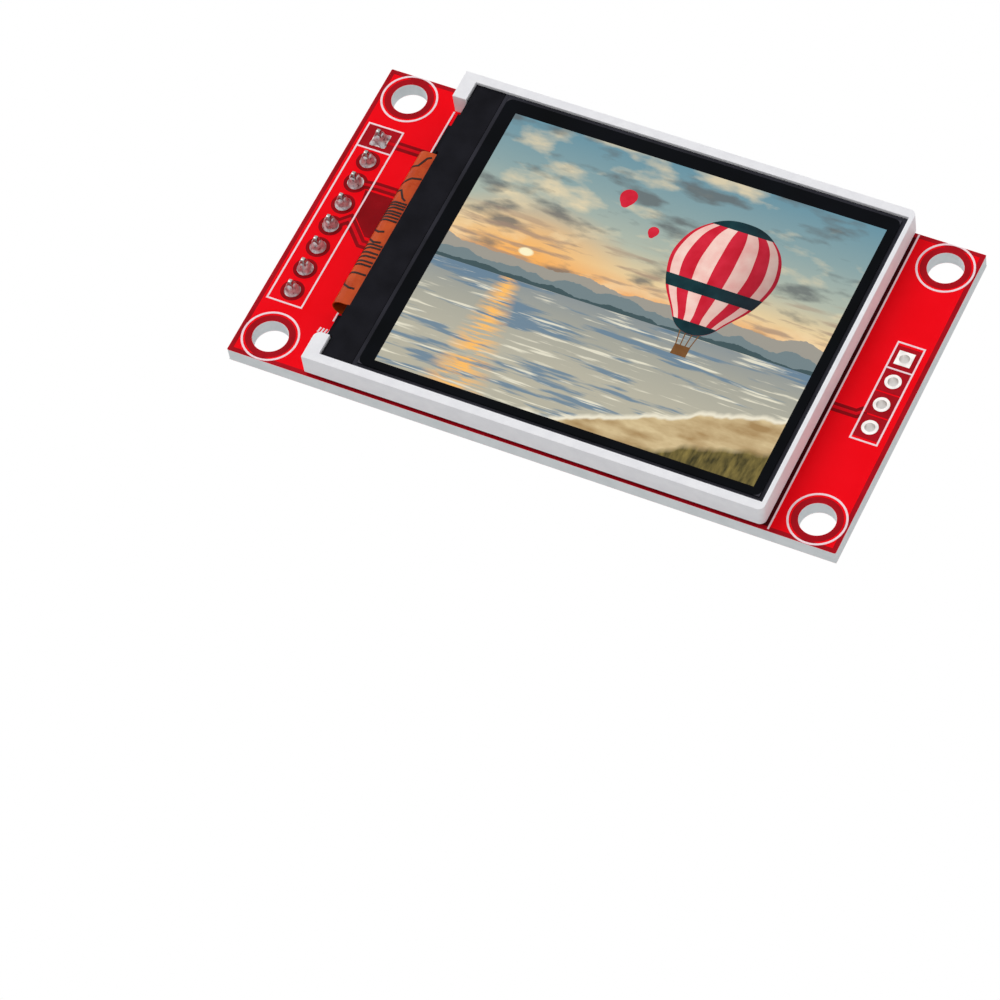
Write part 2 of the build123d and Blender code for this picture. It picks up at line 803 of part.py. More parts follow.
for number, place in enumerate(resistor_places, start=1):
    resistor = chip_body(*place)
    resistor.part.label = f"resistor_{number}"
    export_step(resistor.part, f"parts/resistor_{number}.step")
capacitor = chip_body(*capacitor_place)
capacitor.part.label = "capacitor"
export_step(capacitor.part, "parts/capacitor.step")
with BuildPart() as chip_caps:
    with BuildSketch(back(pad_foil)):
        for x, z, angle in chip_places:
            with Locations(Location((x, z), angle)):
                with GridLocations(chip_length - chip_cap, 0, 2, 1):
                    Rectangle(chip_cap, chip_width + 2 * chip_cap_wall)
    extrude(amount=-(chip_height + 2 * chip_cap_wall))
    with BuildSketch(back(chip_level)):
        for x, z, angle in chip_places:
            with Locations(Location((x, z), angle)):
                Rectangle(chip_length - 2 * chip_cap_wall, chip_width)
    extrude(amount=-chip_height, mode=Mode.SUBTRACT)
chip_caps.part.label = "chip_caps"
export_step(chip_caps.part, "parts/chip_caps.step")

# Voltage regulator: a moulded body with drafted sides and three bent leads
reg_x = header_x + regulator_from_header[0]
reg_z = regulator_from_header[1]
reg_length, reg_width, reg_height = regulator_body_size
with BuildPart() as regulator:
    with BuildSketch(back(regulator_lift + reg_height / 2)):
        with Locations((reg_x, reg_z)):
            Rectangle(reg_length, reg_width)
    extrude(amount=reg_height / 2, both=True, taper=regulator_draft)
regulator.part.label = "regulator"
export_step(regulator.part, "parts/regulator.step")
lead_end = reg_width / 2 + lead_reach
with BuildPart() as regulator_leads:
    for lead_x, toward in ((reg_x - lead_pitch, 1), (reg_x + lead_pitch, 1), (reg_x, -1)):
        with BuildSketch(Plane.YZ.offset(lead_x)):
            with BuildLine():
                FilletPolyline(
                    (board_thickness + lead_level, reg_z + toward * reg_width / 2),
                    (board_thickness + lead_level, reg_z + toward * (lead_end - lead_foot)),
                    (board_thickness + pad_foil, reg_z + toward * (lead_end - lead_foot)),
                    (board_thickness + pad_foil, reg_z + toward * lead_end),
                    radius=lead_bend,
                )
                offset(amount=lead_gauge, side=Side.RIGHT if toward > 0 else Side.LEFT)
            make_face()
        extrude(amount=lead_width / 2, both=True)
regulator_leads.part.label = "regulator_leads"
export_step(regulator_leads.part, "parts/regulator_leads.step")

# Bare lands on the back face: under the socket's feet and tails, the small parts and the jumper
with BuildPart() as back_lands:
    with BuildSketch(back(0)):
        for foot_end, side, foot_z, land in (
            (socket_left - foot_reach, -1, foot_far_z, far_left_land),
            (socket_left - foot_reach, -1, foot_near_z + near_land_shift, near_left_land),
            (socket_right + foot_reach, 1, foot_near_z + near_land_shift, near_right_land),
            (corner_x + foot_reach, 1, foot_far_z, far_right_land),
        ):
            with Locations((foot_end + side * land[2], foot_z)):
                Rectangle(land[0], land[1])
        land_z = socket_far - contact_tail + contact_land[1] / 2
        for x, bump, tip in all_contacts:
            with Locations((x, land_z)):
                Rectangle(*contact_land)
        for x, z, angle in chip_places:
            with Locations(Location((x, z), angle)):
                with GridLocations(chip_length - chip_cap, 0, 2, 1):
                    Rectangle(*chip_pad)
        jumper_x = header_x + jumper_from_header[0]
        with Locations((jumper_x, jumper_from_header[1])), GridLocations(0, jumper_pitch, 1, 2):
            Rectangle(*jumper_pad)
    extrude(amount=-pad_foil)
back_lands.part.label = "back_lands"
export_step(back_lands.part, "parts/back_lands.step")
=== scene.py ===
import math

import bmesh
import bpy
from mathutils import Matrix, Vector, noise


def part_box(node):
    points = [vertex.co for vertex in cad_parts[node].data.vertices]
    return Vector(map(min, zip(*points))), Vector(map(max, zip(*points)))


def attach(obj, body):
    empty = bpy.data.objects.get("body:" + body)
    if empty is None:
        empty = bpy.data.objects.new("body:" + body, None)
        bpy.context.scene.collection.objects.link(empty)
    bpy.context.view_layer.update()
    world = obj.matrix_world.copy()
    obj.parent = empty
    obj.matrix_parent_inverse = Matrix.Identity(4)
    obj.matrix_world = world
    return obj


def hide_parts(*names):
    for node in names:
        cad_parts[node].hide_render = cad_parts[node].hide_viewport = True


# A small colour display module: red circuit board, white screen frame, pin header, card socket.
# Shapes are drawn in millimetres and scaled to metres when a piece is finished.
# X runs along the board, Z up it, the screen faces -Y, and the board's front face is y = 0.

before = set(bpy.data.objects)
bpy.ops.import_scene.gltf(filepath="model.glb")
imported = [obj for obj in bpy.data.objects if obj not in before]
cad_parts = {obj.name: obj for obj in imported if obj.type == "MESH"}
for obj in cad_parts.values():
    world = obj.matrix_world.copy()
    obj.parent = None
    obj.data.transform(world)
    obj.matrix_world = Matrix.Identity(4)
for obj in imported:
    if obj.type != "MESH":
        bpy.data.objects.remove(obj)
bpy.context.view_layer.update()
MM = 0.001


def box(node_name):
    """The lowest and highest corner of a CAD node, in millimetres."""
    low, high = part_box(node_name)
    return low / MM, high / MM


board_low, board_high = box("circuit_board")
screen_low, screen_high = box("front_polariser")
BOARD_BACK = board_high.y
HOLE_PLACES = [(x, z) for x in (-26.2, 26.2) for z in (-14.05, 14.05)]
HOLE_RADIUS = 1.65
HEADER_X = -26.6
PIN_PITCH = 2.54
PIN_ZS = [PIN_PITCH * (3.5 - number) for number in range(8)]
SIDE_X = 26.65
SIDE_ZS = [PIN_PITCH * (1.5 - number) for number in range(4)]
SIDE_PAD_LEFT = SIDE_X - 0.62

# Heights of what is etched or printed on the board
BARE_HEIGHT = 0.006
TRACE_HEIGHT = 0.018
INK_HEIGHT = 0.03


def mesh_from(bm, name):
    """A bmesh's shapes as a mesh. The bmesh is freed."""
    mesh = bpy.data.meshes.new(name)
    bm.to_mesh(mesh)
    bm.free()
    return mesh


# Node helpers, for the finishes and the light
def paint(code):
    """A colour from its six-figure code, as a renderer's linear colour."""
    shares = [int(code[i : i + 2], 16) / 255 for i in (0, 2, 4)]
    return tuple(c / 12.92 if c <= 0.04045 else ((c + 0.055) / 1.055) ** 2.4 for c in shares) + (1,)


def new_finish(name, roughness=0.5, metallic=0.0, specular=0.5):
    """A material and its node tree and shader."""
    material = bpy.data.materials.new(name)
    material.use_nodes = True
    shader = material.node_tree.nodes["Principled BSDF"]
    shader.inputs["Roughness"].default_value = roughness
    shader.inputs["Metallic"].default_value = metallic
    shader.inputs["Specular IOR Level"].default_value = specular
    return material, material.node_tree, shader


def add_node(tree, kind, inputs=None, **settings):
    """A node with its settings, and its inputs set to values or linked to sockets."""
    made = tree.nodes.new("ShaderNode" + kind)
    for key, value in settings.items():
        setattr(made, key, value)
    for key, value in (inputs or {}).items():
        if isinstance(value, bpy.types.NodeSocket):
            tree.links.new(value, made.inputs[key])
        else:
            made.inputs[key].default_value = value
    return made


def object_place(tree, stretch=(1, 1, 1), shift=0):
    """Object coordinates in millimetres, stretched and shifted if told."""
    place = add_node(tree, "TexCoord")
    inputs = {"Vector": place.outputs["Object"], "Scale": tuple(share / MM for share in stretch)}
    mapping = add_node(tree, "Mapping", {**inputs, "Location": (shift, shift, shift)})
    return mapping.outputs["Vector"]


def speckle(tree, size, detail=3.0, stretch=(1, 1, 1), shift=0):
    """Noise whose blotches are about this many millimetres across."""
    place = object_place(tree, stretch, shift)
    cloud = add_node(tree, "TexNoise", {"Vector": place, "Scale": 1 / size, "Detail": detail})
    return cloud.outputs["Fac"]


def reckon(tree, operation, first, second=0.0, third=0.0):
    """One step of arithmetic on numbers or sockets."""
    return add_node(tree, "Math", {0: first, 1: second, 2: third}, operation=operation).outputs[0]


def layer(tree, factor, under, over):
    """One colour over another where the factor is 1. Each is a value or a socket."""
    return add_node(tree, "Mix", {0: factor, 6: under, 7: over}, data_type="RGBA").outputs[2]


def between(tree, factor, low, high, start=0.3, stop=0.7):
    """A colour or a number that goes from low to high as the factor goes from start to stop."""
    share = add_node(tree, "MapRange", {"Value": factor, "From Min": start, "From Max": stop})
    if isinstance(low, tuple):
        return layer(tree, share.outputs[0], low, high)
    share.inputs["To Min"].default_value = low
    share.inputs["To Max"].default_value = high
    return share.outputs[0]


def add_bump(tree, shader, height, depth):
    """Relief this many millimetres deep."""
    bump = add_node(tree, "Bump", {"Height": height, "Distance": depth * MM, "Strength": 1.0})
    tree.links.new(bump.outputs["Normal"], shader.inputs["Normal"])


# Camera, at the photograph's viewing angle. Its place is in millimetres.
CAMERA_PLACE = Vector((137.92, -363.11, -223.92))
CAMERA_RIGHT = Vector((0.8985, 0.1040, 0.4265))
CAMERA_UP = Vector((-0.3059, -0.5484, 0.7782))
SENSOR_WIDTH = 36
LENS_LENGTH = 184.1


def add_camera():
    """The main camera, turned by its right and up directions."""
    camera = bpy.data.objects.new("camera", bpy.data.cameras.new("camera"))
    bpy.context.scene.collection.objects.link(camera)
    right = CAMERA_RIGHT.normalized()
    back = right.cross(CAMERA_UP.normalized()).normalized()
    up = back.cross(right)
    turn = Matrix((right, up, back)).transposed().to_4x4()
    camera.matrix_world = Matrix.Translation(CAMERA_PLACE * MM) @ turn
    camera.data.sensor_width = SENSOR_WIDTH
    camera.data.lens = LENS_LENGTH
    camera.data.clip_start = 0.01
    camera.data.clip_end = 20
    bpy.context.scene.camera = camera


# Light: an even pale world, soft lamps before and behind the board, and a pale floor far below it,
# whose sizes are in metres
WORLD_FILL = 0.62
FLOOR_HALF = 6
FLOOR_DROP = 0.3
FLOOR_GLOW = 0.7


def seen_directly(tree):
    """The light path's node, and 1 for a ray from the camera or off a glossy face."""
    rays = add_node(tree, "LightPath")
    return rays, reckon(tree, "MAXIMUM", rays.outputs["Is Camera Ray"], rays.outputs["Is Glossy Ray"])


def add_world():
    """A white world that is full white where it is seen and dimmer where it only lights."""
    world = bpy.data.worlds.new("studio")
    bpy.context.scene.world = world
    world.use_nodes = True
    tree = world.node_tree
    background = tree.nodes["Background"]
    background.inputs["Color"].default_value = (1, 1, 1, 1)
    rays, seen = seen_directly(tree)
    through = reckon(tree, "MAXIMUM", seen, rays.outputs["Is Transmission Ray"])
    tree.links.new(between(tree, through, WORLD_FILL, 1.0, 0.0, 1.0), background.inputs["Strength"])


def add_lamp(name, direction, strength, softness):
    """A sun lamp that shines along this direction."""
    lamp = bpy.data.objects.new(name, bpy.data.lights.new(name, "SUN"))
    bpy.context.scene.collection.objects.link(lamp)
    lamp.data.energy = strength
    lamp.data.angle = math.radians(softness)
    lamp.rotation_mode = "QUATERNION"
    lamp.rotation_quaternion = Vector(direction).to_track_quat("-Z", "Y")


def add_floor():
    """A sheet of pale paper that glows a little where it is seen."""
    bm = bmesh.new()
    bmesh.ops.create_grid(bm, x_segments=1, y_segments=1, size=FLOOR_HALF)
    bmesh.ops.translate(bm, verts=bm.verts, vec=(0, 0, -FLOOR_DROP))
    mesh = mesh_from(bm, "floor")
    floor = bpy.data.objects.new("floor", mesh)
    bpy.context.scene.collection.objects.link(floor)
    material, tree, paper = new_finish("floor_paper", roughness=0.9)
    paper.inputs["Base Color"].default_value = (0.86, 0.86, 0.86, 1)
    seen = seen_directly(tree)[1]
    glow = add_node(tree, "Emission")
    share = reckon(tree, "MULTIPLY", seen, FLOOR_GLOW)
    mix = add_node(tree, "MixShader", {0: share, 1: paper.outputs[0], 2: glow.outputs[0]})
    tree.links.new(mix.outputs[0], tree.nodes["Material Output"].inputs["Surface"])
    mesh.materials.append(material)


add_camera()
add_world()
add_lamp("lamp_front", (0.6, 0.78, -0.05), 1.5, 40)
add_lamp("lamp_behind", (0.3, -0.93, -0.05), 1.2, 40)
add_floor()


# Finishes
PICTURE_SHADE = 0.55
PICTURE_GLOW = 0.58


def mottled(name, dark, light, size, roughness, relief, metallic=0.0, specular=0.5, stretch=(1, 1, 1)):
    """A finish of two close colours in blotches, with roughness and relief that follow them."""
    material, tree, shader = new_finish(name, metallic=metallic, specular=specular)
    cloud = speckle(tree, size, stretch=stretch)
    tree.links.new(between(tree, cloud, paint(dark), paint(light)), shader.inputs["Base Color"])
    tree.links.new(between(tree, cloud, *roughness), shader.inputs["Roughness"])
    add_bump(tree, shader, speckle(tree, size / 4, stretch=stretch), relief)
    return material


def solder_mask(name, dark, light):
    """Glossy lacquer over the board's copper or its bare laminate."""
    return mottled(name, dark, light, 3.0, (0.2, 0.3), 0.003, specular=0.05)


def board_body():
    """Red lacquer on both faces of the board and pale glass laminate at its cut edges."""
    material, tree, shader = new_finish("board_red_and_laminate", specular=0.05)
    place = add_node(tree, "SeparateXYZ", {"Vector": object_place(tree)})
    off = reckon(tree, "ABSOLUTE", reckon(tree, "SUBTRACT", place.outputs["Y"], BOARD_BACK / 2))
    face = reckon(tree, "GREATER_THAN", off, BOARD_BACK / 2 - 0.01)
    red = between(tree, speckle(tree, 4.0), paint("FA0012"), paint("FF0418"))
    edge = between(tree, speckle(tree, 1.5), paint("DEE3E5"), paint("E8ECEE"))
    tree.links.new(layer(tree, face, edge, red), shader.inputs["Base Color"])
    tree.links.new(between(tree, face, 0.75, 0.25, 0, 1), shader.inputs["Roughness"])
    add_bump(tree, shader, speckle(tree, 0.8), 0.003)
    return material


def clear_film(name, tint, roughness):
    """A thin film or a plastic plate that light passes through."""
    material, tree, shader = new_finish(name, specular=0.4)
    cloud = speckle(tree, 1.5)
    tree.links.new(between(tree, cloud, paint(tint), (0.9, 0.92, 0.94, 1)), shader.inputs["Base Color"])
    tree.links.new(between(tree, cloud, roughness, roughness + 0.1), shader.inputs["Roughness"])
    shader.inputs["Transmission Weight"].default_value = 0.6
    return material


def lit_picture(name, colour_of):
    """A lit part of the picture, in the colour that colour_of(tree) gives. It takes the room's light too."""
    material, tree, shader = new_finish(name, roughness=0.2, specular=0.04)
    colour = colour_of(tree)
    tree.links.new(layer(tree, PICTURE_SHADE, colour, (0, 0, 0, 1)), shader.inputs["Base Color"])
    tree.links.new(colour, shader.inputs["Emission Color"])
    shader.inputs["Emission Strength"].default_value = PICTURE_GLOW
    return material


MATERIALS = {
    "board": board_body(),
    "mask_bare": solder_mask("mask_over_bare_laminate", "86060F", "9C0A16"),
    "mask_edge": solder_mask("mask_over_bare_edge", "A00C18", "B81020"),
    # Dark mask: the back's bare edges and hole rings, and painted shade on the front's strip beside the
    # frame
    "mask_dark_and_painted_shade": solder_mask("dark_mask_and_painted_shade", "3E060C", "520A12"),
    "mask_trace": solder_mask("mask_over_copper", "D80418", "EA0A1E"),
    "ink": mottled("legend_ink", "F8D8E0", "FFE8EE", 0.5, (0.5, 0.65), 0.004, specular=0.3),
    "frame": mottled("frame_white_plastic", "EEEEF2", "F6F6F9", 1.2, (0.42, 0.55), 0.003, specular=0.3),
    "pad": mottled("tinned_pad", "DAD6D2", "F0ECE8", 0.8, (0.3, 0.45), 0.002, metallic=1.0),
    "solder": mottled("solder_alloy", "A09A9E", "E4E0E2", 0.3, (0.22, 0.45), 0.02, metallic=0.7),
    "solder_dull": mottled("solder_dull", "5E564E", "989088", 0.25, (0.3, 0.5), 0.02, metallic=0.6),
    "pin": mottled("pin_plating", "8A8C8A", "ACAEAB", 0.8, (0.2, 0.32), 0.003, 1.0, stretch=(1, 0.2, 1)),
    "header": mottled("header_black_plastic", "03040A", "090B14", 0.25, (0.55, 0.7), 0.01, specular=0.1),
    "shield": mottled("shield_satin_steel", "E2E2E2", "E4E4E4", 4.0, (0.42, 0.44), 0.001, metallic=0.4),
    "socket": mottled("socket_grey_plastic", "B4B1AC", "C6C3BE", 0.8, (0.5, 0.65), 0.004, specular=0.25),
    "spring": mottled("contact_spring_plating", "D2CEC4", "ECE8DE", 0.6, (0.25, 0.4), 0.004, metallic=0.6),
    "ribbon": mottled("ribbon_polyimide", "B83C06", "CC4E10", 1.2, (0.24, 0.36), 0.004, specular=0.2),
    "ribbon_line": mottled("ribbon_trace", "1C0804", "2E1008", 0.6, (0.3, 0.45), 0.004, specular=0.2),
    "tape": mottled("black_tape", "0E0E14", "18181F", 2.5, (0.28, 0.4), 0.002, specular=0.05),
    "foam": mottled("mounting_tape", "1A0A0C", "2A1214", 0.3, (0.8, 0.9), 0.02, specular=0.1),
    "glass": mottled("dark_display_glass", "05070A", "090C12", 4.0, (0.08, 0.16), 0.001, specular=0.04),
    "glass_rim": mottled("display_glass_rim", "26262C", "34343C", 4.0, (0.12, 0.2), 0.001, specular=0.05),
    "seal": mottled("screen_seal", "303036", "3E3D45", 2.5, (0.2, 0.35), 0.001, specular=0.1),
    "film": clear_film("backlight_film", "D6DCE0", 0.25),
    "guide": clear_film("light_guide_plastic", "C8D8E0", 0.08),
    "reflector": mottled("reflector_film", "E4E6E8", "FAFAFA", 1.0, (0.25, 0.35), 0.002),
    "lamp": mottled("lamp_phosphor", "E8D890", "F6EBB4", 0.3, (0.4, 0.5), 0.004),
    "resistor": mottled("resistor_glaze", "0B0D10", "1B1F22", 0.2, (0.3, 0.45), 0.006, specular=0.3),
    "capacitor": mottled("capacitor_ceramic", "5A3A26", "7A5236", 0.25, (0.4, 0.55), 0.008),
    "moulding": mottled("chip_moulding", "050608", "101216", 0.2, (0.4, 0.55), 0.01, specular=0.25),
    "silicon": mottled("driver_silicon", "1A1E26", "2E3440", 1.0, (0.1, 0.2), 0.001),
}


# Piece helpers. Edges that turn past a crease angle stay crisp. A dressed CAD node's edges are bevelled
# where they turn past SHARP.
CREASE = math.radians(30)
SOLDER_CREASE = math.radians(60)
SHARP = math.radians(28)


def everything(bm):
    """All the vertices, edges and faces of a bmesh, for a cut."""
    return list(bm.verts) + list(bm.edges) + list(bm.faces)


def finish_piece(name, bm, material, replaces=(), crease=CREASE):
    """A finished piece from a bmesh in millimetres. Its mesh is in metres and it rides on the board."""
    bmesh.ops.transform(bm, matrix=Matrix.Scale(MM, 4), verts=bm.verts)
    for face in bm.faces:
        face.smooth = True
    for edge in bm.edges:
        edge.smooth = edge.calc_face_angle(math.pi) < crease
    mesh = mesh_from(bm, name)
    mesh.materials.append(MATERIALS[material])
    piece = bpy.data.objects.new(name, mesh)
    bpy.context.scene.collection.objects.link(piece)
    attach(piece, "root")
    if replaces:
        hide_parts(*replaces)
    return piece


def dressed(node_name, material, bevel, segments=2):
    """A copy of a CAD node with softened edges, in place of the node."""
    bm = bmesh.new()
    bm.from_mesh(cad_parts[node_name].data)
    bmesh.ops.transform(bm, matrix=Matrix.Scale(1 / MM, 4), verts=bm.verts)
    bmesh.ops.remove_doubles(bm, verts=bm.verts, dist=0.002)
    bmesh.ops.dissolve_limit(bm, angle_limit=math.radians(1), verts=bm.verts, edges=bm.edges)
    edges = [edge for edge in bm.edges if edge.is_manifold and edge.calc_face_angle(0) > SHARP]
    bmesh.ops.bevel(
        bm,
        geom=edges,
        offset=bevel,
        offset_type="OFFSET",
        affect="EDGES",
        segments=segments,
        profile=0.5,
        material=-1,
        clamp_overlap=True,
    )
    piece = finish_piece("dressed_" + node_name, bm, material, (node_name,))
    piece.modifiers.new("even_normals", "WEIGHTED_NORMAL").keep_sharp = True
    return piece


def mesh_of(data):
    """The evaluated mesh of a curve, a text or a mesh with modifiers, as a new mesh."""
    maker = data if isinstance(data, bpy.types.Object) else bpy.data.objects.new("maker", data)
    if maker.name not in bpy.context.scene.objects:
        bpy.context.scene.collection.objects.link(maker)
    bpy.context.view_layer.update()
    graph = bpy.context.evaluated_depsgraph_get()
    mesh = bpy.data.meshes.new_from_object(maker.evaluated_get(graph))
    bpy.data.objects.remove(maker)
    return mesh


# Flat artwork: drawn with x across and z up, given its thickness, then laid on a face of the board
def inset(bm, face, thickness):
    """Shrinks a lone face, with a border of this thickness left round it."""
    bmesh.ops.inset_region(bm, faces=[face], thickness=thickness, use_even_offset=True, use_boundary=True)


def add_ring(bm, x, z, outer, inner=0.0, segments=48):
    """A disc, or a ring if it has an inner radius."""
    made = bmesh.ops.create_circle(bm, cap_ends=True, segments=segments, radius=outer)
    bmesh.ops.translate(bm, verts=made["verts"], vec=(x, z, 0))
    if inner:
        disc = next(iter(made["verts"][0].link_faces))
        inset(bm, disc, outer - inner)
        bmesh.ops.delete(bm, geom=[disc], context="FACES")


def add_area(bm, points):
    """A filled outline."""
    bm.faces.new([bm.verts.new((x, z, 0)) for x, z in points])


def add_box(bm, left, right, low, high):
    """A filled rectangle."""
    add_area(bm, ((left, low), (right, low), (right, high), (left, high)))


def trim(bm, left, right, low, high):
    """Cuts off what lies outside a rectangle."""
    for place, normal in (
        ((left, 0, 0), (-1, 0, 0)),
        ((right, 0, 0), (1, 0, 0)),
        ((0, low, 0), (0, -1, 0)),
        ((0, high, 0), (0, 1, 0)),
    ):
        bmesh.ops.bisect_plane(bm, geom=everything(bm), plane_co=place, plane_no=normal, clear_outer=True)


def raised(bm, height):
    """Gives the flat shapes drawn so far their thickness."""
    risen = bmesh.ops.extrude_face_region(bm, geom=list(bm.faces), use_keep_orig=True)
    tops = [item for item in risen["geom"] if isinstance(item, bmesh.types.BMVert)]
    bmesh.ops.translate(bm, verts=tops, vec=(0, 0, height))


def add_bands(bm, paths, width, height):
    """Bands of even width along paths, with mitred corners. A path that ends where it starts is closed."""
    walls = bmesh.new()
    for path in paths:
        closed = path[0] == path[-1]
        verts = [walls.verts.new((x, z, 0)) for x, z in (path[:-1] if closed else path)]
        for pair in zip(verts, verts[1:] + verts[:closed]):
            walls.edges.new(pair)
    risen = bmesh.ops.extrude_edge_only(walls, edges=walls.edges)
    tops = [item for item in risen["geom"] if isinstance(item, bmesh.types.BMVert)]
    bmesh.ops.translate(walls, verts=tops, vec=(0, 0, height))
    maker = bpy.data.objects.new("walls", mesh_from(walls, "walls"))
    thicken = maker.modifiers.new("width", "SOLIDIFY")
    thicken.thickness = width
    thicken.offset = 0
    thicken.use_even_offset = True
    bm.from_mesh(mesh_of(maker))


def merged(bm):
    """The same solid shapes with their overlaps joined into one skin."""
    bmesh.ops.recalc_face_normals(bm, faces=bm.faces)
    maker = bpy.data.objects.new("shapes", mesh_from(bm, "shapes"))
    union = maker.modifiers.new("union", "BOOLEAN")
    union.operation = "UNION"
    union.operand_type = "COLLECTION"
    union.solver = "EXACT"
    union.use_self = True
    skin = bmesh.new()
    skin.from_mesh(mesh_of(maker))
    return skin


def add_number(bm, words, x, z, size, height, upright=True):
    """A plain number for the board's back, centred on a place, upright or upside down as seen there."""
    text = bpy.data.curves.new("number", "FONT")
    text.body = words
    text.size = size
    text.align_x = "CENTER"
    text.align_y = "CENTER"
    text.extrude = height
    text.resolution_u = 3
    solid = bmesh.new()
    solid.from_mesh(mesh_of(text))
    side = -1 if upright else 1
    place = Matrix.Translation((x, z, 0)) @ Matrix.Diagonal((side, -side, 1, 1))
    bmesh.ops.transform(solid, matrix=place, verts=solid.verts)
    bm.from_mesh(mesh_from(solid, "number"))


def lay(bm, level, out, x=0, z=0):
    """Turns flat artwork into the plane y = level, with its thickness towards out, and moves it there."""
    turn = Matrix(((1, 0, 0, x), (0, 0, out, level), (0, 1, 0, z), (0, 0, 0, 1)))
    bmesh.ops.transform(bm, matrix=turn, verts=bm.verts)
    bmesh.ops.recalc_face_normals(bm, faces=bm.faces)


def artwork_piece(name, bm, behind, material):
    """Lays artwork on the board's front face, or on its back face if behind."""
    if behind:
        lay(bm, BOARD_BACK, 1)
    else:
        lay(bm, 0, -1)
    finish_piece(name, bm, material)


# Where copper is left off, the lacquer looks darker: along the board's edges, round holes and tracks
EDGE_MARGIN = 0.02
FRONT_BAND, BACK_BAND = 0.42, 0.12
FRONT_HOLE_RING, BACK_HOLE_RING = 2.26, 1.95
OVER_BARE_HEIGHT = BARE_HEIGHT * 1.4
PAD_OPENING = 0.6
FIRST_CELL, FRONT_CELL, BACK_CELL = 1.16, 1.1, 1.15
TRACE_WIDTH = 0.3
TRACE_BORDER = 0.95
VIA_OPENING, VIA_RADIUS, VIA_BORE = 0.74, 0.34, 0.14
LEGEND_BESIDE_FRAME = 22.68


def bare_edges(name, band, hole_ring, material, behind):
    """The darker band along the board's edge, and over it the ring round each mounting hole."""
    bands = bmesh.new()
    left, right = board_low.x + EDGE_MARGIN, board_high.x - EDGE_MARGIN
    low, high = board_low.z + EDGE_MARGIN, board_high.z - EDGE_MARGIN
    add_box(bands, left, left + band, low, high)
    add_box(bands, right - band, right, low, high)
    add_box(bands, left + band, right - band, low, low + band)
    add_box(bands, left + band, right - band, high - band, high)
    bmesh.ops.remove_doubles(bands, verts=bands.verts, dist=0.001)
    raised(bands, BARE_HEIGHT)
    artwork_piece(name + "_edges", bands, behind, material)
    rings = bmesh.new()
    for x, z in HOLE_PLACES:
        add_ring(rings, x, z, hole_ring, HOLE_RADIUS + EDGE_MARGIN)
    raised(rings, OVER_BARE_HEIGHT)
    artwork_piece(name + "_rings", rings, behind, material)


def bare_cell(bm, x, z, size, edges=None):
    """The gap in the copper round a plated hole: a ring, and a rectangle round it if its edges are told."""
    add_ring(bm, x, z, size, PAD_OPENING, 36)
    if edges:
        left, right, low, high = edges
        add_box(bm, left, x - PAD_OPENING, low, high)
        add_box(bm, x + PAD_OPENING, right, low, high)
        add_box(bm, x - PAD_OPENING, x + PAD_OPENING, low, z - PAD_OPENING)
        add_box(bm, x - PAD_OPENING, x + PAD_OPENING, z + PAD_OPENING, high)


bare_edges("front_bare", FRONT_BAND, FRONT_HOLE_RING, "mask_edge", False)

# The cells of the first pin and the side pads lie over the edge's band
front_cells = bmesh.new()
bare_cell(front_cells, HEADER_X, PIN_ZS[0], FIRST_CELL, (-28.3, -25.1, 7.79, 10.24))
for z in SIDE_ZS:
    bare_cell(front_cells, SIDE_X, z, FRONT_CELL, (25.55, 27.82, z - 1.2, z + 1.2))
raised(front_cells, OVER_BARE_HEIGHT)
artwork_piece("front_bare_cells", merged(front_cells), False, "mask_edge")

# A strip under the display in dark mask: painted shade where it shows beside the frame's long sides
frame_low = box("display_frame")[0]
shade = bmesh.new()
shade_low = max(frame_low.z - 0.15, board_low.z + FRONT_BAND + 0.03)
shade_high = board_high.z - FRONT_BAND - 0.03
add_box(shade, -19.5, LEGEND_BESIDE_FRAME - 0.1, shade_low, shade_high)
raised(shade, OVER_BARE_HEIGHT)
artwork_piece("front_painted_shade_strip", shade, False, "mask_dark_and_painted_shade")

# Bare laminate and tracks of the front face
front_bare = bmesh.new()
for z in PIN_ZS[1:]:
    bare_cell(front_bare, HEADER_X, z, FRONT_CELL)
add_area(front_bare, ((-25.4, 3.4), (-20.6, 3.4), (-20.6, -1.3), (-23.2, -1.3), (-24.9, 0.4)))
raised(front_bare, BARE_HEIGHT)
front_traces = [
    [(HEADER_X, PIN_ZS[0]), (-24.5, 8.86), (-20.5, 8.86)],
    [(HEADER_X, PIN_ZS[2]), (-24.6, 4.1), (-20.5, 4.1)],
    [(HEADER_X, PIN_ZS[4]), (-25.3, 0.0), (-23.2, -2.1), (-20.5, -2.1)],
    [(22.6, -2.9), (25.0, -2.9), (25.6, -2.3)],
]
add_bands(front_bare, front_traces, TRACE_BORDER, BARE_HEIGHT)
artwork_piece("front_bare_laminate", merged(front_bare), False, "mask_bare")
front_copper = bmesh.new()
add_bands(front_copper, front_traces, TRACE_WIDTH, TRACE_HEIGHT)
artwork_piece("front_traces", merged(front_copper), False, "mask_trace")

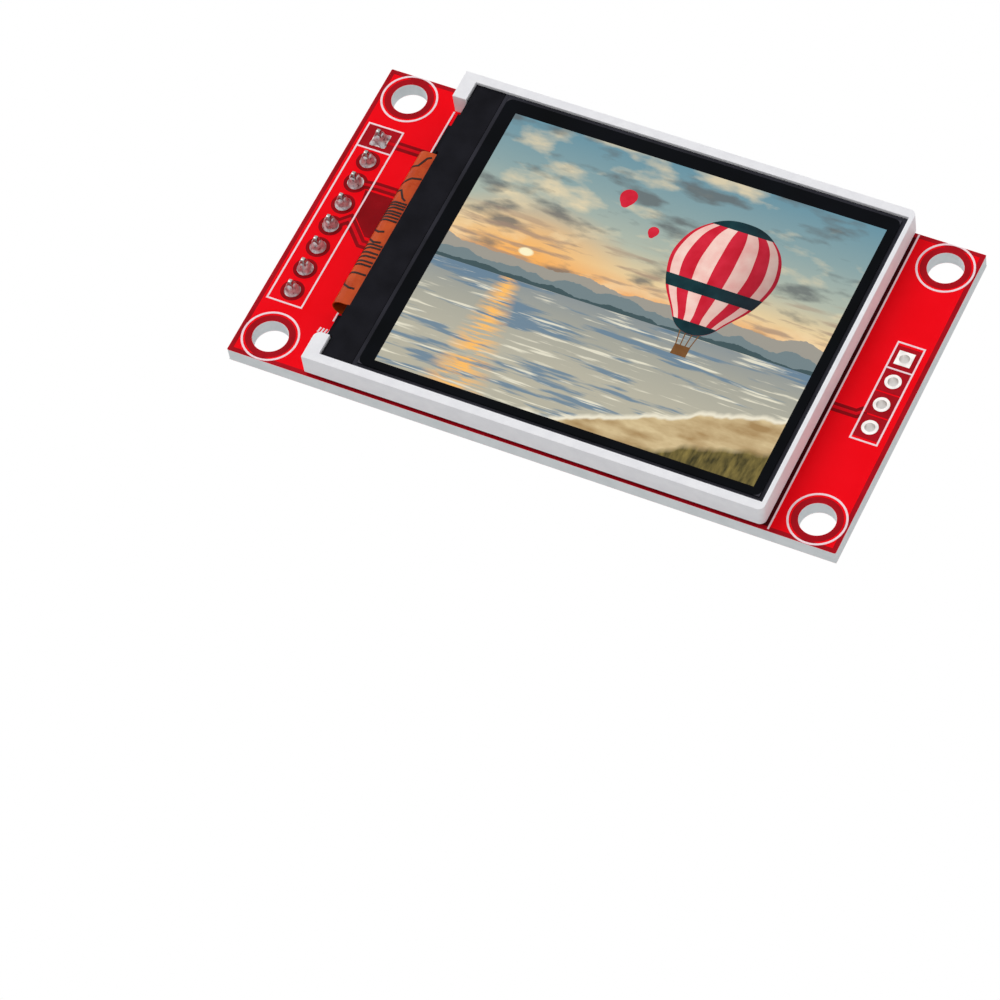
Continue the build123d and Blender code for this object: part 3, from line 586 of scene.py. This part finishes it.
# Bare laminate, tracks and plated through holes of the back face
back_traces = [
    [(10.9, -8.68), (12.73, -8.68), (24.9, 3.49), (SIDE_PAD_LEFT, SIDE_ZS[0])],
    [
        *((10.17, -9.2), (10.17, -9.9), (11.45, -11.2), (11.85, -11.2)),
        *((24.32, 1.27), (SIDE_PAD_LEFT, SIDE_ZS[1])),
    ],
    [
        *((5.05, -9.2), (4.4, -9.85), (4.4, -11.4), (5.5, -12.5), (12.6, -12.5)),
        *((21.29, -3.81), (SIDE_PAD_LEFT, SIDE_ZS[3])),
    ],
    [(24.3, -3.0), (25.4, -2.1), (SIDE_PAD_LEFT, SIDE_ZS[2])],
    [(0.08, -1.8), (0.08, -3.0), (2.73, -5.65), (4.6, -5.65), (5.05, -6.1), (5.05, -7.4)],
    [(7.65, -1.8), (7.65, -7.4)],
    [(10.2, -1.8), (10.2, -7.4)],
    [
        *((HEADER_X, PIN_ZS[6]), (-24.97, -5.9), (-23.52, -4.45), (-21.6, -4.45)),
        *((-19.6, -2.45), (-19.6, 0.9), (-20.1, 1.4)),
    ],
    [(HEADER_X, PIN_ZS[5]), (-24.2, -2.9), (-22.2, -2.9), (-20.75, -1.45), (-20.75, 0.9), (-20.3, 1.4)],
    [(HEADER_X, PIN_ZS[4]), (-23.2, -1.1), (-22.2, -1.1), (-21.85, -0.75), (-21.85, 0.55), (-21.2, 1.2)],
    [(HEADER_X, PIN_ZS[7]), (-25.5, -8.3), (-23.45, -6.25), (-19.5, -6.24), (-16.5, -6.3)],
    [(-20.1, 5.9), (-20.1, 4.7), (-19.6, 4.2)],
    [(-19.15, 8.6), (-16.3, 8.6), (-14.75, 8.15)],
    [(-19.15, 8.8), (-19.15, 10.6), (-19.8, 11.2)],
    [(-21.05, 8.8), (-21.05, 11.2)],
]
VIAS = [(-20.1, 1.65), (-16.5, -6.3), (-19.6, 3.85), (-14.75, 8.15), (-4.95, -3.15)]
CHIP_XS = (5.05, 7.61, 10.17)
bare_edges("back_bare", BACK_BAND, BACK_HOLE_RING, "mask_dark_and_painted_shade", True)
back_bare = bmesh.new()
for x, z in VIAS:
    add_ring(back_bare, x, z, VIA_OPENING)
for number, z in enumerate(SIDE_ZS):
    square = (SIDE_X - BACK_CELL, SIDE_X + BACK_CELL, z - BACK_CELL, z + BACK_CELL)
    bare_cell(back_bare, SIDE_X, z, BACK_CELL, None if number else square)
fan = [(-25.3, -6.2), (-23.52, -4.45), (-21.6, -4.45), (-19.6, -2.45), (-19.6, 0.9), (-20.1, 1.4)]
fan += [(-21.2, 1.2), (-21.85, 0.55), (-21.85, -0.75), (-22.2, -1.1), (-23.2, -1.1), (-25.3, -1.27)]
add_area(back_bare, fan)
for edges in (
    (-22.15, -18.95, 10.4, 11.95),
    (-17.2, -15.5, 5.9, 8.9),
    (-19.4, -17.0, 5.75, 8.75),
    (-20.45, -17.3, -7.05, -5.45),
    (-22.0, -18.3, 5.95, 9.0),
    (-12.65, -10.3, -0.45, 2.8),
    (-13.05, -9.6, 13.75, board_high.z - 0.1),
    (14.2, 17.0, -0.4, 2.85),
    (15.4, 19.55, 13.65, board_high.z - 0.1),
    *((x - 0.88, x + 0.88, -9.55, -6.55) for x in CHIP_XS),
):
    add_box(back_bare, *edges)
bundle = [(11.85, -11.2), (12.6, -12.5), (21.29, -3.81), (SIDE_PAD_LEFT, -3.81)]
bundle += [(SIDE_PAD_LEFT, 3.81), (24.9, 3.49), (13.3, -8.1), (13.1, -9.95)]
add_area(back_bare, bundle)
add_area(back_bare, ((7.4, -12.4), (12.5, -12.4), (11.85, -11.1), (9.3, -10.9)))
for name in [f"card_contact_{number}" for number in range(1, 10)] + ["detect_spring", "protect_spring"]:
    low, high = box(name)
    add_box(back_bare, low.x - 0.4, high.x + 0.4, low.z - 0.14, low.z + 1.6)
raised(back_bare, BARE_HEIGHT)
add_bands(back_bare, back_traces, TRACE_BORDER, BARE_HEIGHT)
artwork_piece("back_bare_laminate", merged(back_bare), True, "mask_bare")
back_copper = bmesh.new()
for x, z in VIAS:
    add_ring(back_copper, x, z, VIA_RADIUS, VIA_BORE, 24)
raised(back_copper, TRACE_HEIGHT)
add_bands(back_copper, back_traces, TRACE_WIDTH, TRACE_HEIGHT)
artwork_piece("back_traces", merged(back_copper), True, "mask_trace")


# White legend: boxes round the header and the side pads, rings round the holes, part outlines
INK_LINE = 0.16
BRACKET_GAP = 0.3
LABEL_SIZE, PART_LABEL_SIZE, SCALE_SIZE, VALUE_SIZE = 1.65, 1.6, 2.4, 0.62
VALUE_HEIGHT = 0.012
PIN_LABEL_X, SIDE_LABEL_X, SCALE_Z = -23.5, 23.7, -14.45
INK_RING = (2.64, 2.45)
HEADER_BOX = (-28.4, -25.0, -10.34, 10.34)
SIDE_BOX = (25.45, 27.92, -5.33, 5.33)


def outline(left, right, low, high):
    """A closed rectangular path."""
    return [(left, low), (right, low), (right, high), (left, high), (left, low)]


def bracket_pair(left, right, low, high, along_z):
    """A part's outline, open halfway along its two long sides."""
    middle_x = (left + right) / 2
    middle_z = (low + high) / 2
    if along_z:
        return [
            [(left, middle_z - BRACKET_GAP), (left, low), (right, low), (right, middle_z - BRACKET_GAP)],
            [(left, middle_z + BRACKET_GAP), (left, high), (right, high), (right, middle_z + BRACKET_GAP)],
        ]
    return [
        [(middle_x - BRACKET_GAP, low), (left, low), (left, high), (middle_x - BRACKET_GAP, high)],
        [(middle_x + BRACKET_GAP, low), (right, low), (right, high), (middle_x + BRACKET_GAP, high)],
    ]


front_ink = bmesh.new()
for x, z in HOLE_PLACES:
    add_ring(front_ink, x, z, *INK_RING, 72)
trim(front_ink, board_low.x, board_high.x, board_low.z + EDGE_MARGIN, board_high.z - EDGE_MARGIN)
raised(front_ink, INK_HEIGHT)
front_ink_lines = [
    outline(*HEADER_BOX),
    [(HEADER_BOX[0], 7.69), (HEADER_BOX[1], 7.69)],
    outline(*SIDE_BOX),
    [(SIDE_BOX[0], 2.53), (SIDE_BOX[1], 2.53)],
    [(-21.7, 14.2), (-21.7, 9.2)],
    [(-21.7, -9.2), (-21.7, -10.6)],
    *([(-22.5 + 0.3 * tick, -12.1), (-22.4 + 0.3 * tick, -11.55)] for tick in range(4)),
    [(LEGEND_BESIDE_FRAME, board_low.z + 0.2), (LEGEND_BESIDE_FRAME, board_high.z - 0.05)],
]
add_bands(front_ink, front_ink_lines, INK_LINE, INK_HEIGHT)
artwork_piece("front_legend", merged(front_ink), False, "ink")

back_ink = bmesh.new()
back_ink_lines = [
    [
        *((-12.0, -0.5), (-12.0, -1.74), (-11.3, -2.43), (16.4, -2.43), (17.05, -1.8)),
        *((17.05, 4.9), (19.4, 6.35), (19.4, 16.4)),
    ],
    [(-12.0, 2.85), (-12.0, 13.7)],
    outline(-17.33, -15.33, 5.78, 9.05),
    *bracket_pair(-20.6, -17.15, -7.15, -5.3, False),
    *bracket_pair(-22.25, -18.85, 10.25, 12.12, False),
    [(-21.85, 5.95), (-21.2, 5.95)],
    [(-19.3, 5.9), (-18.83, 5.9), (-18.83, 7.2)],
    [(-20.35, 8.75), (-19.95, 8.75)],
]
for x in CHIP_XS:
    back_ink_lines += bracket_pair(x - 0.98, x + 0.98, -9.65, -6.45, True)
add_bands(back_ink, back_ink_lines, INK_LINE, INK_HEIGHT)
for number, z in enumerate(PIN_ZS, start=11):
    add_number(back_ink, str(number), PIN_LABEL_X, z, LABEL_SIZE, INK_HEIGHT, False)
for number, z in enumerate(reversed(SIDE_ZS), start=21):
    add_number(back_ink, str(number), SIDE_LABEL_X, z, LABEL_SIZE, INK_HEIGHT)
for number, x, z in ((1, 10.17, -10.55), (2, 7.65, -10.55), (3, 5.05, -10.55), (4, -18.9, -8.2)):
    add_number(back_ink, str(number), x, z, PART_LABEL_SIZE, INK_HEIGHT, False)
for number, x, z in ((5, -17.8, 11.2), (6, -16.0, 10.1), (7, 18.4, 0.4), (8, -21.5, 4.3)):
    add_number(back_ink, str(number), x, z, PART_LABEL_SIZE, INK_HEIGHT)
for number, x in ((10, 19.2), (20, 9.2), (30, -0.8), (40, -10.8), (50, -20.8)):
    add_number(back_ink, str(number), x, SCALE_Z, SCALE_SIZE, INK_HEIGHT)
artwork_piece("back_legend", back_ink, True, "ink")

# Value numbers on the resistors' glaze
for number in range(1, 5):
    low, high = box(f"resistor_{number}")
    middle = (low + high) / 2
    mark = bmesh.new()
    add_number(mark, "10", 0, 0, VALUE_SIZE, VALUE_HEIGHT)
    turn = Matrix.Rotation(math.radians(90 if number < 4 else 0), 4, "Z")
    bmesh.ops.transform(mark, matrix=turn, verts=mark.verts)
    lay(mark, high.y, 1, middle.x, middle.z)
    finish_piece(f"resistor_mark_{number}", mark, "ink")


# Header solder: each joint climbs its pin in a hollow curve, the first from a square pad. The profile is
# (radius, y), from the pad to the joint's top.
JOINT_PROFILE = [(0.75, -0.03), (0.71, -0.09), (0.64, -0.17), (0.58, -0.32), (0.53, -0.5), (0.49, -0.68)]
JOINT_PROFILE += [(0.44, -0.84), (0.38, -0.97), (0.3, -1.06), (0.16, -1.12), (0.0, -1.14)]


def lumpy(place, seed, size):
    """A smooth random number from -1 to 1 for a place in millimetres."""
    return noise.noise(Vector(place) / size + Vector((seed * 7.3, seed * 3.1, seed * 5.7)))


def solder_joint(bm, x, z, square):
    """A cone of solder with an uneven skin, thrown out into four points if its pad is square."""
    cone = bmesh.new()
    verts = [cone.verts.new((radius, y, 0)) for radius, y in JOINT_PROFILE]
    edges = [cone.edges.new(pair) for pair in zip(verts, verts[1:])]
    bmesh.ops.spin(
        cone,
        geom=verts + edges,
        cent=(0, 0, 0),
        axis=(0, 1, 0),
        angle=math.tau,
        steps=48,
        use_merge=True,
    )
    bmesh.ops.remove_doubles(cone, verts=cone.verts, dist=0.0005)
    for vert in cone.verts:
        angle = math.atan2(vert.co.z, vert.co.x)
        foot = max(0.0, 1 + vert.co.y / 0.6)
        swell = 1 + 0.2 * lumpy(vert.co, z, 0.5) * min(1, -vert.co.y * 6)
        if square:
            swell *= 1 + foot * (0.1 + 0.28 * math.cos(4 * angle + math.pi))
        vert.co.x *= swell
        vert.co.z *= swell
    bmesh.ops.translate(cone, verts=cone.verts, vec=(x, 0, z))
    bm.from_mesh(mesh_from(cone, "cone"))


joints = bmesh.new()
for number, z in enumerate(PIN_ZS):
    solder_joint(joints, HEADER_X, z, number == 0)
bmesh.ops.recalc_face_normals(joints, faces=joints.faces)
finish_piece("header_solder_joints", joints, "solder", ("header_solder",), SOLDER_CREASE)


def solder_mound(bm, x, z, size_x, size_z, height, seed):
    """A low lump of solder on a land of the back face."""
    lump = bmesh.new()
    bmesh.ops.create_uvsphere(lump, u_segments=24, v_segments=14, radius=1)
    cut = {"plane_co": (0, 0, 0), "plane_no": (0, 0, -1)}
    bmesh.ops.bisect_plane(lump, geom=everything(lump), clear_outer=True, **cut)
    rim = [edge for edge in lump.edges if edge.is_boundary]
    bmesh.ops.edgeloop_fill(lump, edges=rim)
    for vert in lump.verts:
        share = 1 + 0.28 * lumpy(vert.co, seed, 0.7) + 0.12 * lumpy(vert.co, seed, 0.3)
        flat = (x + vert.co.x * size_x / 2 * share, z + vert.co.y * size_z / 2 * share)
        vert.co = (flat[0], BOARD_BACK + 0.02 + vert.co.z * height * share, flat[1])
    bmesh.ops.recalc_face_normals(lump, faces=lump.faces)
    bm.from_mesh(mesh_from(lump, "lump"))


# Solder on the back face: on the socket's feet, the small parts' ends and the open jumper
FOOT_MOUNDS = (
    (-11.15, 15.5, 1.1, 1.5, 0.42),
    (-11.2, 1.2, 0.7, 1.7, 0.3),
    (14.3, 0.75, 1.5, 2.0, 0.6),
    (17.45, 15.1, 1.0, 1.5, 0.34),
)
CHIP_END = 0.82
CHIP_MOUND = (0.74, 0.4)
CHIP_MOUND_HEIGHT = 0.3
LEAD_MOUND = (0.75, 0.7, 0.26)
JUMPER_X, JUMPER_ZS = -16.25, (6.68, 8.12)
JUMPER_MOUND = (0.95, 0.85, 0.3)
mounds = bmesh.new()
for seed, foot in enumerate(FOOT_MOUNDS, start=1):
    solder_mound(mounds, *foot, seed)
chip_mounds = bmesh.new()
for name in ("resistor_1", "resistor_2", "resistor_3", "resistor_4", "capacitor"):
    low, high = box(name)
    middle = (low + high) / 2
    upright = high.z - low.z > high.x - low.x
    size = CHIP_MOUND if upright else CHIP_MOUND[::-1]
    for side in (-1, 1):
        shift = side * CHIP_END
        x, z = (middle.x, middle.z + shift) if upright else (middle.x + shift, middle.z)
        solder_mound(chip_mounds, x, z, *size, CHIP_MOUND_HEIGHT, middle.x * side)
finish_piece("chip_solder", chip_mounds, "solder_dull", (), SOLDER_CREASE)
low, high = box("regulator")
middle = (low + high) / 2
for across, up in ((-0.95, 1.2), (0.95, 1.2), (0, -1.2)):
    solder_mound(mounds, middle.x + across, middle.z + up, *LEAD_MOUND, middle.x + across)
for z in JUMPER_ZS:
    solder_mound(mounds, JUMPER_X, z, *JUMPER_MOUND, z)
finish_piece("back_solder", mounds, "solder", (), SOLDER_CREASE)


# Dressed copies of the CAD nodes that show their edges
dressed("display_frame", "frame", 0.12, 3)
dressed("header_housing", "header", 0.1)
dressed("card_shield", "shield", 0.03)
dressed("card_base", "socket", 0.04)
dressed("regulator", "moulding", 0.05)
dressed("regulator_leads", "pin", 0.02, 1)
for number in range(1, 9):
    dressed(f"header_pin_{number}", "pin", 0.05)
for number in range(1, 5):
    dressed(f"resistor_{number}", "resistor", 0.03)
dressed("capacitor", "capacitor", 0.04)
dressed("chip_caps", "pad", 0.03)


# Ribbon cable wires: drawn flat as (share, z), where share is 0 at the black tape's edge and 1 at the
# outermost line that the camera sees, then bent round the fold
ribbon_low, ribbon_high = box("ribbon_cable")
FOLD_RADIUS = (ribbon_high.y - ribbon_low.y) / 2
FOLD_X = ribbon_low.x + FOLD_RADIUS
FOLD_Y = (ribbon_high.y + ribbon_low.y) / 2
TAPE_EDGE = -20.3
SEEN_SHARE = 0.97
WIRE_WIDTH = 0.19
WIRE_HEIGHT = 0.03
WIRE_END = 2.4
WIRE_CUTS = 30


def on_ribbon(along, z, lift):
    """A place over the cable's outer face, this far along it from the fold's start, towards the board."""
    if along < 0:
        return Vector((FOLD_X - along, ribbon_low.y - lift, z))
    angle = along / FOLD_RADIUS
    reach = FOLD_RADIUS + lift
    return Vector((FOLD_X - reach * math.sin(angle), FOLD_Y - reach * math.cos(angle), z))


def along_at(share):
    """The distance along the cable of a share of the width that shows beside the tape."""
    past = FOLD_X - TAPE_EDGE + share * SEEN_SHARE * (TAPE_EDGE - ribbon_low.x)
    if past < 0:
        return past
    return FOLD_RADIUS * math.asin(min(1.0, past / FOLD_RADIUS))


RIBBON_WIRES = [
    [(0.1, 7.5), (0.3, 7.3), (0.55, 6.3), (0.75, 6.2), (1, 6.2)],
    [(0, 5.0), (0.5, 4.8), (0.9, 4.2), (1, 4.15)],
    [(1, 3.2), (0.7, 3.35), (0.4, 2.5), (0.2, 2.3)],
    [(0, 1.35), (0.5, 1.35), (1, 1.15)],
    [(1, -0.4), (0.97, -1.2), (0.64, -1.55), (0.34, -1.4)],
    [(1, -2.15), (0.6, -2.75), (0.2, -2.6)],
    [(0, -3.3), (0.6, -3.35), (1, -3.6)],
    [(0, -4.3), (0.6, -4.35), (1, -4.5)],
    [(1, -7.05), (0.88, -7.65), (0.52, -8.0), (0.2, -7.95)],
]
STRAIGHT_WIRE_ZS = (1.95, 1.65, 0.9, 0.6, 0.25, -0.1, -3.0, -3.9, -4.9, -5.3, -6.3)
RIBBON_WIRES += [[(0, z), (1, z)] for z in STRAIGHT_WIRE_ZS]
wire_paths = []
for wire in RIBBON_WIRES:
    path = [(along_at(share), z) for share, z in wire]
    if wire[-1][0] == 1:
        path.append((WIRE_END, wire[-1][1]))
    if wire[0][0] == 1:
        path.insert(0, (WIRE_END, wire[0][1]))
    wire_paths.append(path)
wires = bmesh.new()
add_bands(wires, wire_paths, WIRE_WIDTH, WIRE_HEIGHT)

# Cuts across the flat bands let them bend round the fold
for cut in range(WIRE_CUTS):
    place = (WIRE_END * cut / WIRE_CUTS, 0, 0)
    bmesh.ops.bisect_plane(wires, geom=everything(wires), plane_co=place, plane_no=(1, 0, 0))
for vert in wires.verts:
    vert.co = on_ribbon(vert.co.x, vert.co.y, vert.co.z)
bmesh.ops.recalc_face_normals(wires, faces=wires.faces)
finish_piece("ribbon_traces", wires, "ribbon_line")


# Screen: grey strips round the black border, where the cell's layers end, and the picture inside it
PICTURE_LEFT, PICTURE_RIGHT = -15.4, 20.6
PICTURE_LOW, PICTURE_HIGH = -14.4, 14.4
SCREEN_FACE = screen_low.y
LEAF = 0.004
SKYLINE = -2.2
SUN_X, SUN_Z = -8.0, 0.9
SEAL_WIDTH, SEAL_CORNER = 0.5, 0.6


def screen_piece(name, bm, level, material):
    """Lays flat shapes on the screen as a thin leaf, this many leaves in front of its face."""
    raised(bm, LEAF * 0.8)
    lay(bm, SCREEN_FACE - LEAF * level, -1)
    finish_piece(name, bm, material)


seal = bmesh.new()
seal_sides = (screen_low.x + EDGE_MARGIN, screen_high.x - EDGE_MARGIN)
add_box(seal, *seal_sides, screen_low.z + EDGE_MARGIN, screen_high.z - EDGE_MARGIN)
rim = seal.faces[:][0]
inset(seal, rim, SEAL_WIDTH)
bmesh.ops.bevel(
    seal,
    geom=list(rim.verts),
    offset=SEAL_CORNER,
    affect="VERTICES",
    segments=6,
    profile=0.5,
    material=-1,
)
field = max(seal.faces, key=lambda face: face.calc_area())
bmesh.ops.delete(seal, geom=[field], context="FACES")
screen_piece("screen_seal", seal, 0.5, "seal")


def ridge(tree, up, base, height, size, shift):
    """1 below a hilly line across the picture, and 0 above it."""
    crest = speckle(tree, size, 6.0, (1, 0, 0), shift)
    line = reckon(tree, "MULTIPLY_ADD", crest, 2 * height, base - height)
    return reckon(tree, "LESS_THAN", up, line)


def sun_nearness(tree, place, reach):
    """1 at the sun, and 0 this many millimetres from it."""
    offset = add_node(tree, "VectorMath", {0: place, 1: (SUN_X, 0, SUN_Z)}, operation="SUBTRACT")
    flat = add_node(tree, "VectorMath", {0: offset.outputs[0], 1: (0.8, 0, 1.3)}, operation="MULTIPLY")
    length = add_node(tree, "VectorMath", {0: flat.outputs[0]}, operation="LENGTH")
    return between(tree, length.outputs["Value"], 1.0, 0.0, 0.0, reach)


def sky_colour(tree):
    """Dusk: slate blue above, cream and orange at the skyline, drawn-out clouds, a low sun and hills."""
    place = object_place(tree)
    up = add_node(tree, "SeparateXYZ", {"Vector": place}).outputs["Z"]
    bands = add_node(tree, "ValToRGB", {"Fac": between(tree, up, 0.0, 1.0, SKYLINE, PICTURE_HIGH)})
    stops = bands.color_ramp.elements
    stops[0].color = paint("F09044")
    stops[1].color = paint("6A94A4")
    for share, code in ((0.12, "F4B070"), (0.24, "EAD0A0"), (0.42, "B4BCAC"), (0.7, "8CA6A8")):
        stops.new(share).color = paint(code)
    glow = between(tree, sun_nearness(tree, place, 8.0), 0.0, 0.75, 0.0, 1.0)
    warmed = layer(tree, glow, bands.outputs["Color"], paint("FFB04C"))
    pale = between(tree, speckle(tree, 6.0, 9.0, (1, 1, 2.4)), 0.0, 0.7, 0.54, 0.7)
    clouded = layer(tree, pale, warmed, paint("F7E0B4"))
    shade = between(tree, speckle(tree, 5.5, 9.0, (1, 1, 3.0), 9), 0.0, 0.8, 0.53, 0.66)
    shaded = layer(tree, shade, clouded, paint("64696A"))
    streak = between(tree, speckle(tree, 5.0, 8.0, (0.7, 1, 5.0), 17), 0.0, 0.75, 0.52, 0.6)
    low_sky = between(tree, up, 1.0, 0.0, 3.0, 6.0)
    shaded = layer(tree, reckon(tree, "MULTIPLY", streak, low_sky), shaded, paint("A58C7A"))
    disc = between(tree, sun_nearness(tree, place, 0.8), 0.0, 1.0, 0.2, 0.45)
    sunny = layer(tree, disc, shaded, paint("FFF6CC"))
    far = layer(tree, ridge(tree, up, 0.2, 2.4, 7.0, 3), sunny, paint("A09C92"))
    middle = layer(tree, ridge(tree, up, -0.9, 2.0, 5.0, 21), far, paint("76868A"))
    return layer(tree, ridge(tree, up, -1.75, 0.9, 3.0, 40), middle, paint("44585C"))


def lake_colour(tree):
    """Still water with level streaks, the sun's path on it, and a sandy bank at the lower right."""
    parts = add_node(tree, "SeparateXYZ", {"Vector": object_place(tree)})
    across, up = parts.outputs["X"], parts.outputs["Z"]
    bands = add_node(tree, "ValToRGB", {"Fac": between(tree, up, 0.0, 1.0, PICTURE_LOW, SKYLINE)})
    stops = bands.color_ramp.elements
    stops[0].color = paint("B8B4A2")
    stops[1].color = paint("8E9698")
    for share, code in ((0.4, "BAB6A4"), (0.75, "A8A89C")):
        stops.new(share).color = paint(code)
    blue = between(tree, speckle(tree, 3.4, 6.0, (0.4, 1, 4.5)), 0.0, 0.85, 0.53, 0.6)
    streaked = layer(tree, blue, bands.outputs["Color"], paint("64829A"))
    foam = between(tree, speckle(tree, 2.6, 5.0, (0.4, 1, 6), 5), 0.0, 0.95, 0.56, 0.64)
    foamed = layer(tree, foam, streaked, paint("E9E4CF"))
    aside = reckon(tree, "ABSOLUTE", reckon(tree, "SUBTRACT", across, SUN_X))
    wide = between(tree, up, 3.4, 1.2, PICTURE_LOW, SKYLINE)
    path = between(tree, reckon(tree, "DIVIDE", aside, wide), 1.0, 0.0, 0.1, 1.0)
    glint = between(tree, speckle(tree, 1.3, 4.0, (0.5, 1, 5), 12), 0.0, 1.0, 0.42, 0.55)
    lit = layer(tree, reckon(tree, "MULTIPLY", path, glint), foamed, paint("FFC06A"))
    slope = reckon(tree, "MULTIPLY_ADD", across, 0.36, -14.6)
    wavy = reckon(tree, "MULTIPLY_ADD", speckle(tree, 6.0, 4.0, (1, 0, 0), 7), 5.0, -2.5)
    depth = reckon(tree, "SUBTRACT", reckon(tree, "ADD", slope, wavy), up)
    wet = layer(tree, between(tree, depth, 0.0, 1.0, -0.5, -0.1), lit, paint("EFE8D2"))
    sand = between(tree, speckle(tree, 2.0, 7.0, (0.6, 1, 1.6)), paint("A8895C"), paint("E0CB9E"))
    bank = layer(tree, between(tree, depth, 0.0, 1.0, 0.0, 0.25), wet, sand)
    grass = between(tree, speckle(tree, 0.7, 6.0, (1.6, 1, 0.5)), paint("3E3A24"), paint("8A7A44"))
    return layer(tree, between(tree, depth, 0.0, 1.0, 3.2, 3.9), bank, grass)


BALLOON_X, BALLOON_Z = 9.0, 4.4
BALLOON_WIDTH, BALLOON_HEIGHT = 5.0, 6.2


def cloth_colour(dark, light):
    """Balloon cloth that falls into shade on its right side."""

    def colour_of(tree):
        parts = add_node(tree, "SeparateXYZ", {"Vector": object_place(tree)})
        edge = (BALLOON_X - BALLOON_WIDTH * 0.2, BALLOON_X + BALLOON_WIDTH)
        cloth = between(tree, speckle(tree, 1.5, 3.0), paint(dark), paint(light))
        return layer(tree, between(tree, parts.outputs["X"], 0.0, 0.5, *edge), cloth, paint("2A1420"))

    return colour_of


MATERIALS["sky"] = lit_picture("picture_sky", sky_colour)
MATERIALS["lake"] = lit_picture("picture_lake", lake_colour)
MATERIALS["balloon_red"] = lit_picture("picture_balloon_red", cloth_colour("C81A2E", "DC2C42"))
MATERIALS["balloon_pink"] = lit_picture("picture_balloon_pink", cloth_colour("F2B8B0", "FAD8CC"))
MATERIALS["balloon_dark"] = lit_picture("picture_balloon_dark", cloth_colour("0E2A30", "1A3C42"))
MATERIALS["basket"] = lit_picture("picture_basket", cloth_colour("6E4828", "8C6238"))


def soft_outline(points):
    """A closed shape with a smooth outline through these points, as flat faces."""
    curve = bpy.data.curves.new("outline", "CURVE")
    curve.dimensions = "2D"
    curve.fill_mode = "BOTH"
    curve.resolution_u = 10
    spline = curve.splines.new("BEZIER")
    spline.bezier_points.add(len(points) - 1)
    spline.use_cyclic_u = True
    for point, (x, z) in zip(spline.bezier_points, points):
        point.co = (x, z, 0)
        point.handle_left_type = "AUTO"
        point.handle_right_type = "AUTO"
    bm = bmesh.new()
    bm.from_mesh(mesh_of(curve))
    return bm


def balloon_panel(share, x=BALLOON_X, z=BALLOON_Z, scale=1.0):
    """The balloon's outline, narrowed to this share of its width."""
    half = [(0, 1), (0.6, 0.84), (0.97, 0.36), (0.9, -0.2), (0.55, -0.68), (0.2, -1)]
    width = BALLOON_WIDTH * scale
    right = [(x + across * width * share, z + up * BALLOON_HEIGHT * scale) for across, up in half]
    left = [(2 * x - across, up) for across, up in reversed(right[1:])]
    return soft_outline(right + left)


sky = bmesh.new()
add_box(sky, PICTURE_LEFT, PICTURE_RIGHT, SKYLINE, PICTURE_HIGH)
screen_piece("picture_sky", sky, 1, "sky")
lake = bmesh.new()
add_box(lake, PICTURE_LEFT, PICTURE_RIGHT, PICTURE_LOW, SKYLINE)
screen_piece("picture_lake", lake, 1, "lake")

# The balloon: striped cloth in narrowing panels, dark hoops over it, and its basket
PANELS = (
    (1.0, "balloon_red"),
    (0.93, "balloon_pink"),
    (0.74, "balloon_red"),
    (0.47, "balloon_pink"),
    (0.16, "balloon_red"),
)
HOOPS = (("waist", -0.36, -0.16), ("crown", 0.84, 1.1), ("mouth", -1.1, -0.84))
HOOP_LEVEL = len(PANELS) + 2
FAR_BALLOONS = ((-2.0, 9.4, 0.16), (1.6, 6.8, 0.1))
BASKET_HALF, BASKET_TOP, BASKET_LOW = 0.72, 1.5, 2.6
ROPE_HALF, ROPE_LENGTH = 0.05, 1.52
for number, (share, material) in enumerate(PANELS, start=1):
    screen_piece(f"picture_gore_{number}", balloon_panel(share), number + 1, material)
for name, low, high in HOOPS:
    hoop = balloon_panel(1.0)
    trim(hoop, -30, 30, BALLOON_Z + low * BALLOON_HEIGHT, BALLOON_Z + high * BALLOON_HEIGHT)
    screen_piece(f"picture_{name}", hoop, HOOP_LEVEL, "balloon_dark")
mouth_z = BALLOON_Z - BALLOON_HEIGHT
basket = bmesh.new()
basket_sides = (BALLOON_X - BASKET_HALF, BALLOON_X + BASKET_HALF)
add_box(basket, *basket_sides, mouth_z - BASKET_LOW, mouth_z - BASKET_TOP)
for side in (-1, -0.35, 0.35, 1):
    top_x = BALLOON_X + side * 0.9
    low_x = BALLOON_X + side * 0.65
    rope = [(top_x - ROPE_HALF, mouth_z), (low_x - ROPE_HALF, mouth_z - ROPE_LENGTH)]
    rope += [(low_x + ROPE_HALF, mouth_z - ROPE_LENGTH), (top_x + ROPE_HALF, mouth_z)]
    add_area(basket, rope)
screen_piece("picture_basket", basket, 2, "basket")
for number, (x, z, scale) in enumerate(FAR_BALLOONS, start=1):
    far_balloon = balloon_panel(1, x, z, scale)
    screen_piece(f"picture_far_balloon_{number}", far_balloon, 2, "balloon_red")


# Finishes of the CAD nodes that stay as they are
NODE_FINISHES = {
    "circuit_board": "board",
    "header_barrels": "pad",
    "side_barrels": "pad",
    "back_lands": "pad",
    "tape_strip_high": "foam",
    "tape_strip_low": "foam",
    "reflector_sheet": "reflector",
    "light_guide": "guide",
    "diffuser_sheet": "film",
    "prism_sheet": "film",
    "lamp_strip": "ribbon",
    "rear_polariser": "film",
    "rear_glass": "glass",
    "front_glass": "glass_rim",
    "front_polariser": "glass",
    "driver_chip": "silicon",
    "ledge_tape": "tape",
    "ribbon_cable": "ribbon",
    "ribbon_solder": "solder",
    "detect_spring": "spring",
    "protect_spring": "spring",
}
NODE_FINISHES.update({f"backlight_lamp_{number}": "lamp" for number in range(1, 5)})
NODE_FINISHES.update({f"card_contact_{number}": "spring" for number in range(1, 10)})
for node_name, finish in NODE_FINISHES.items():
    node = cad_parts[node_name]
    node.data.materials.clear()
    node.data.materials.append(MATERIALS[finish])

bpy.context.scene.view_settings.view_transform = "Standard"
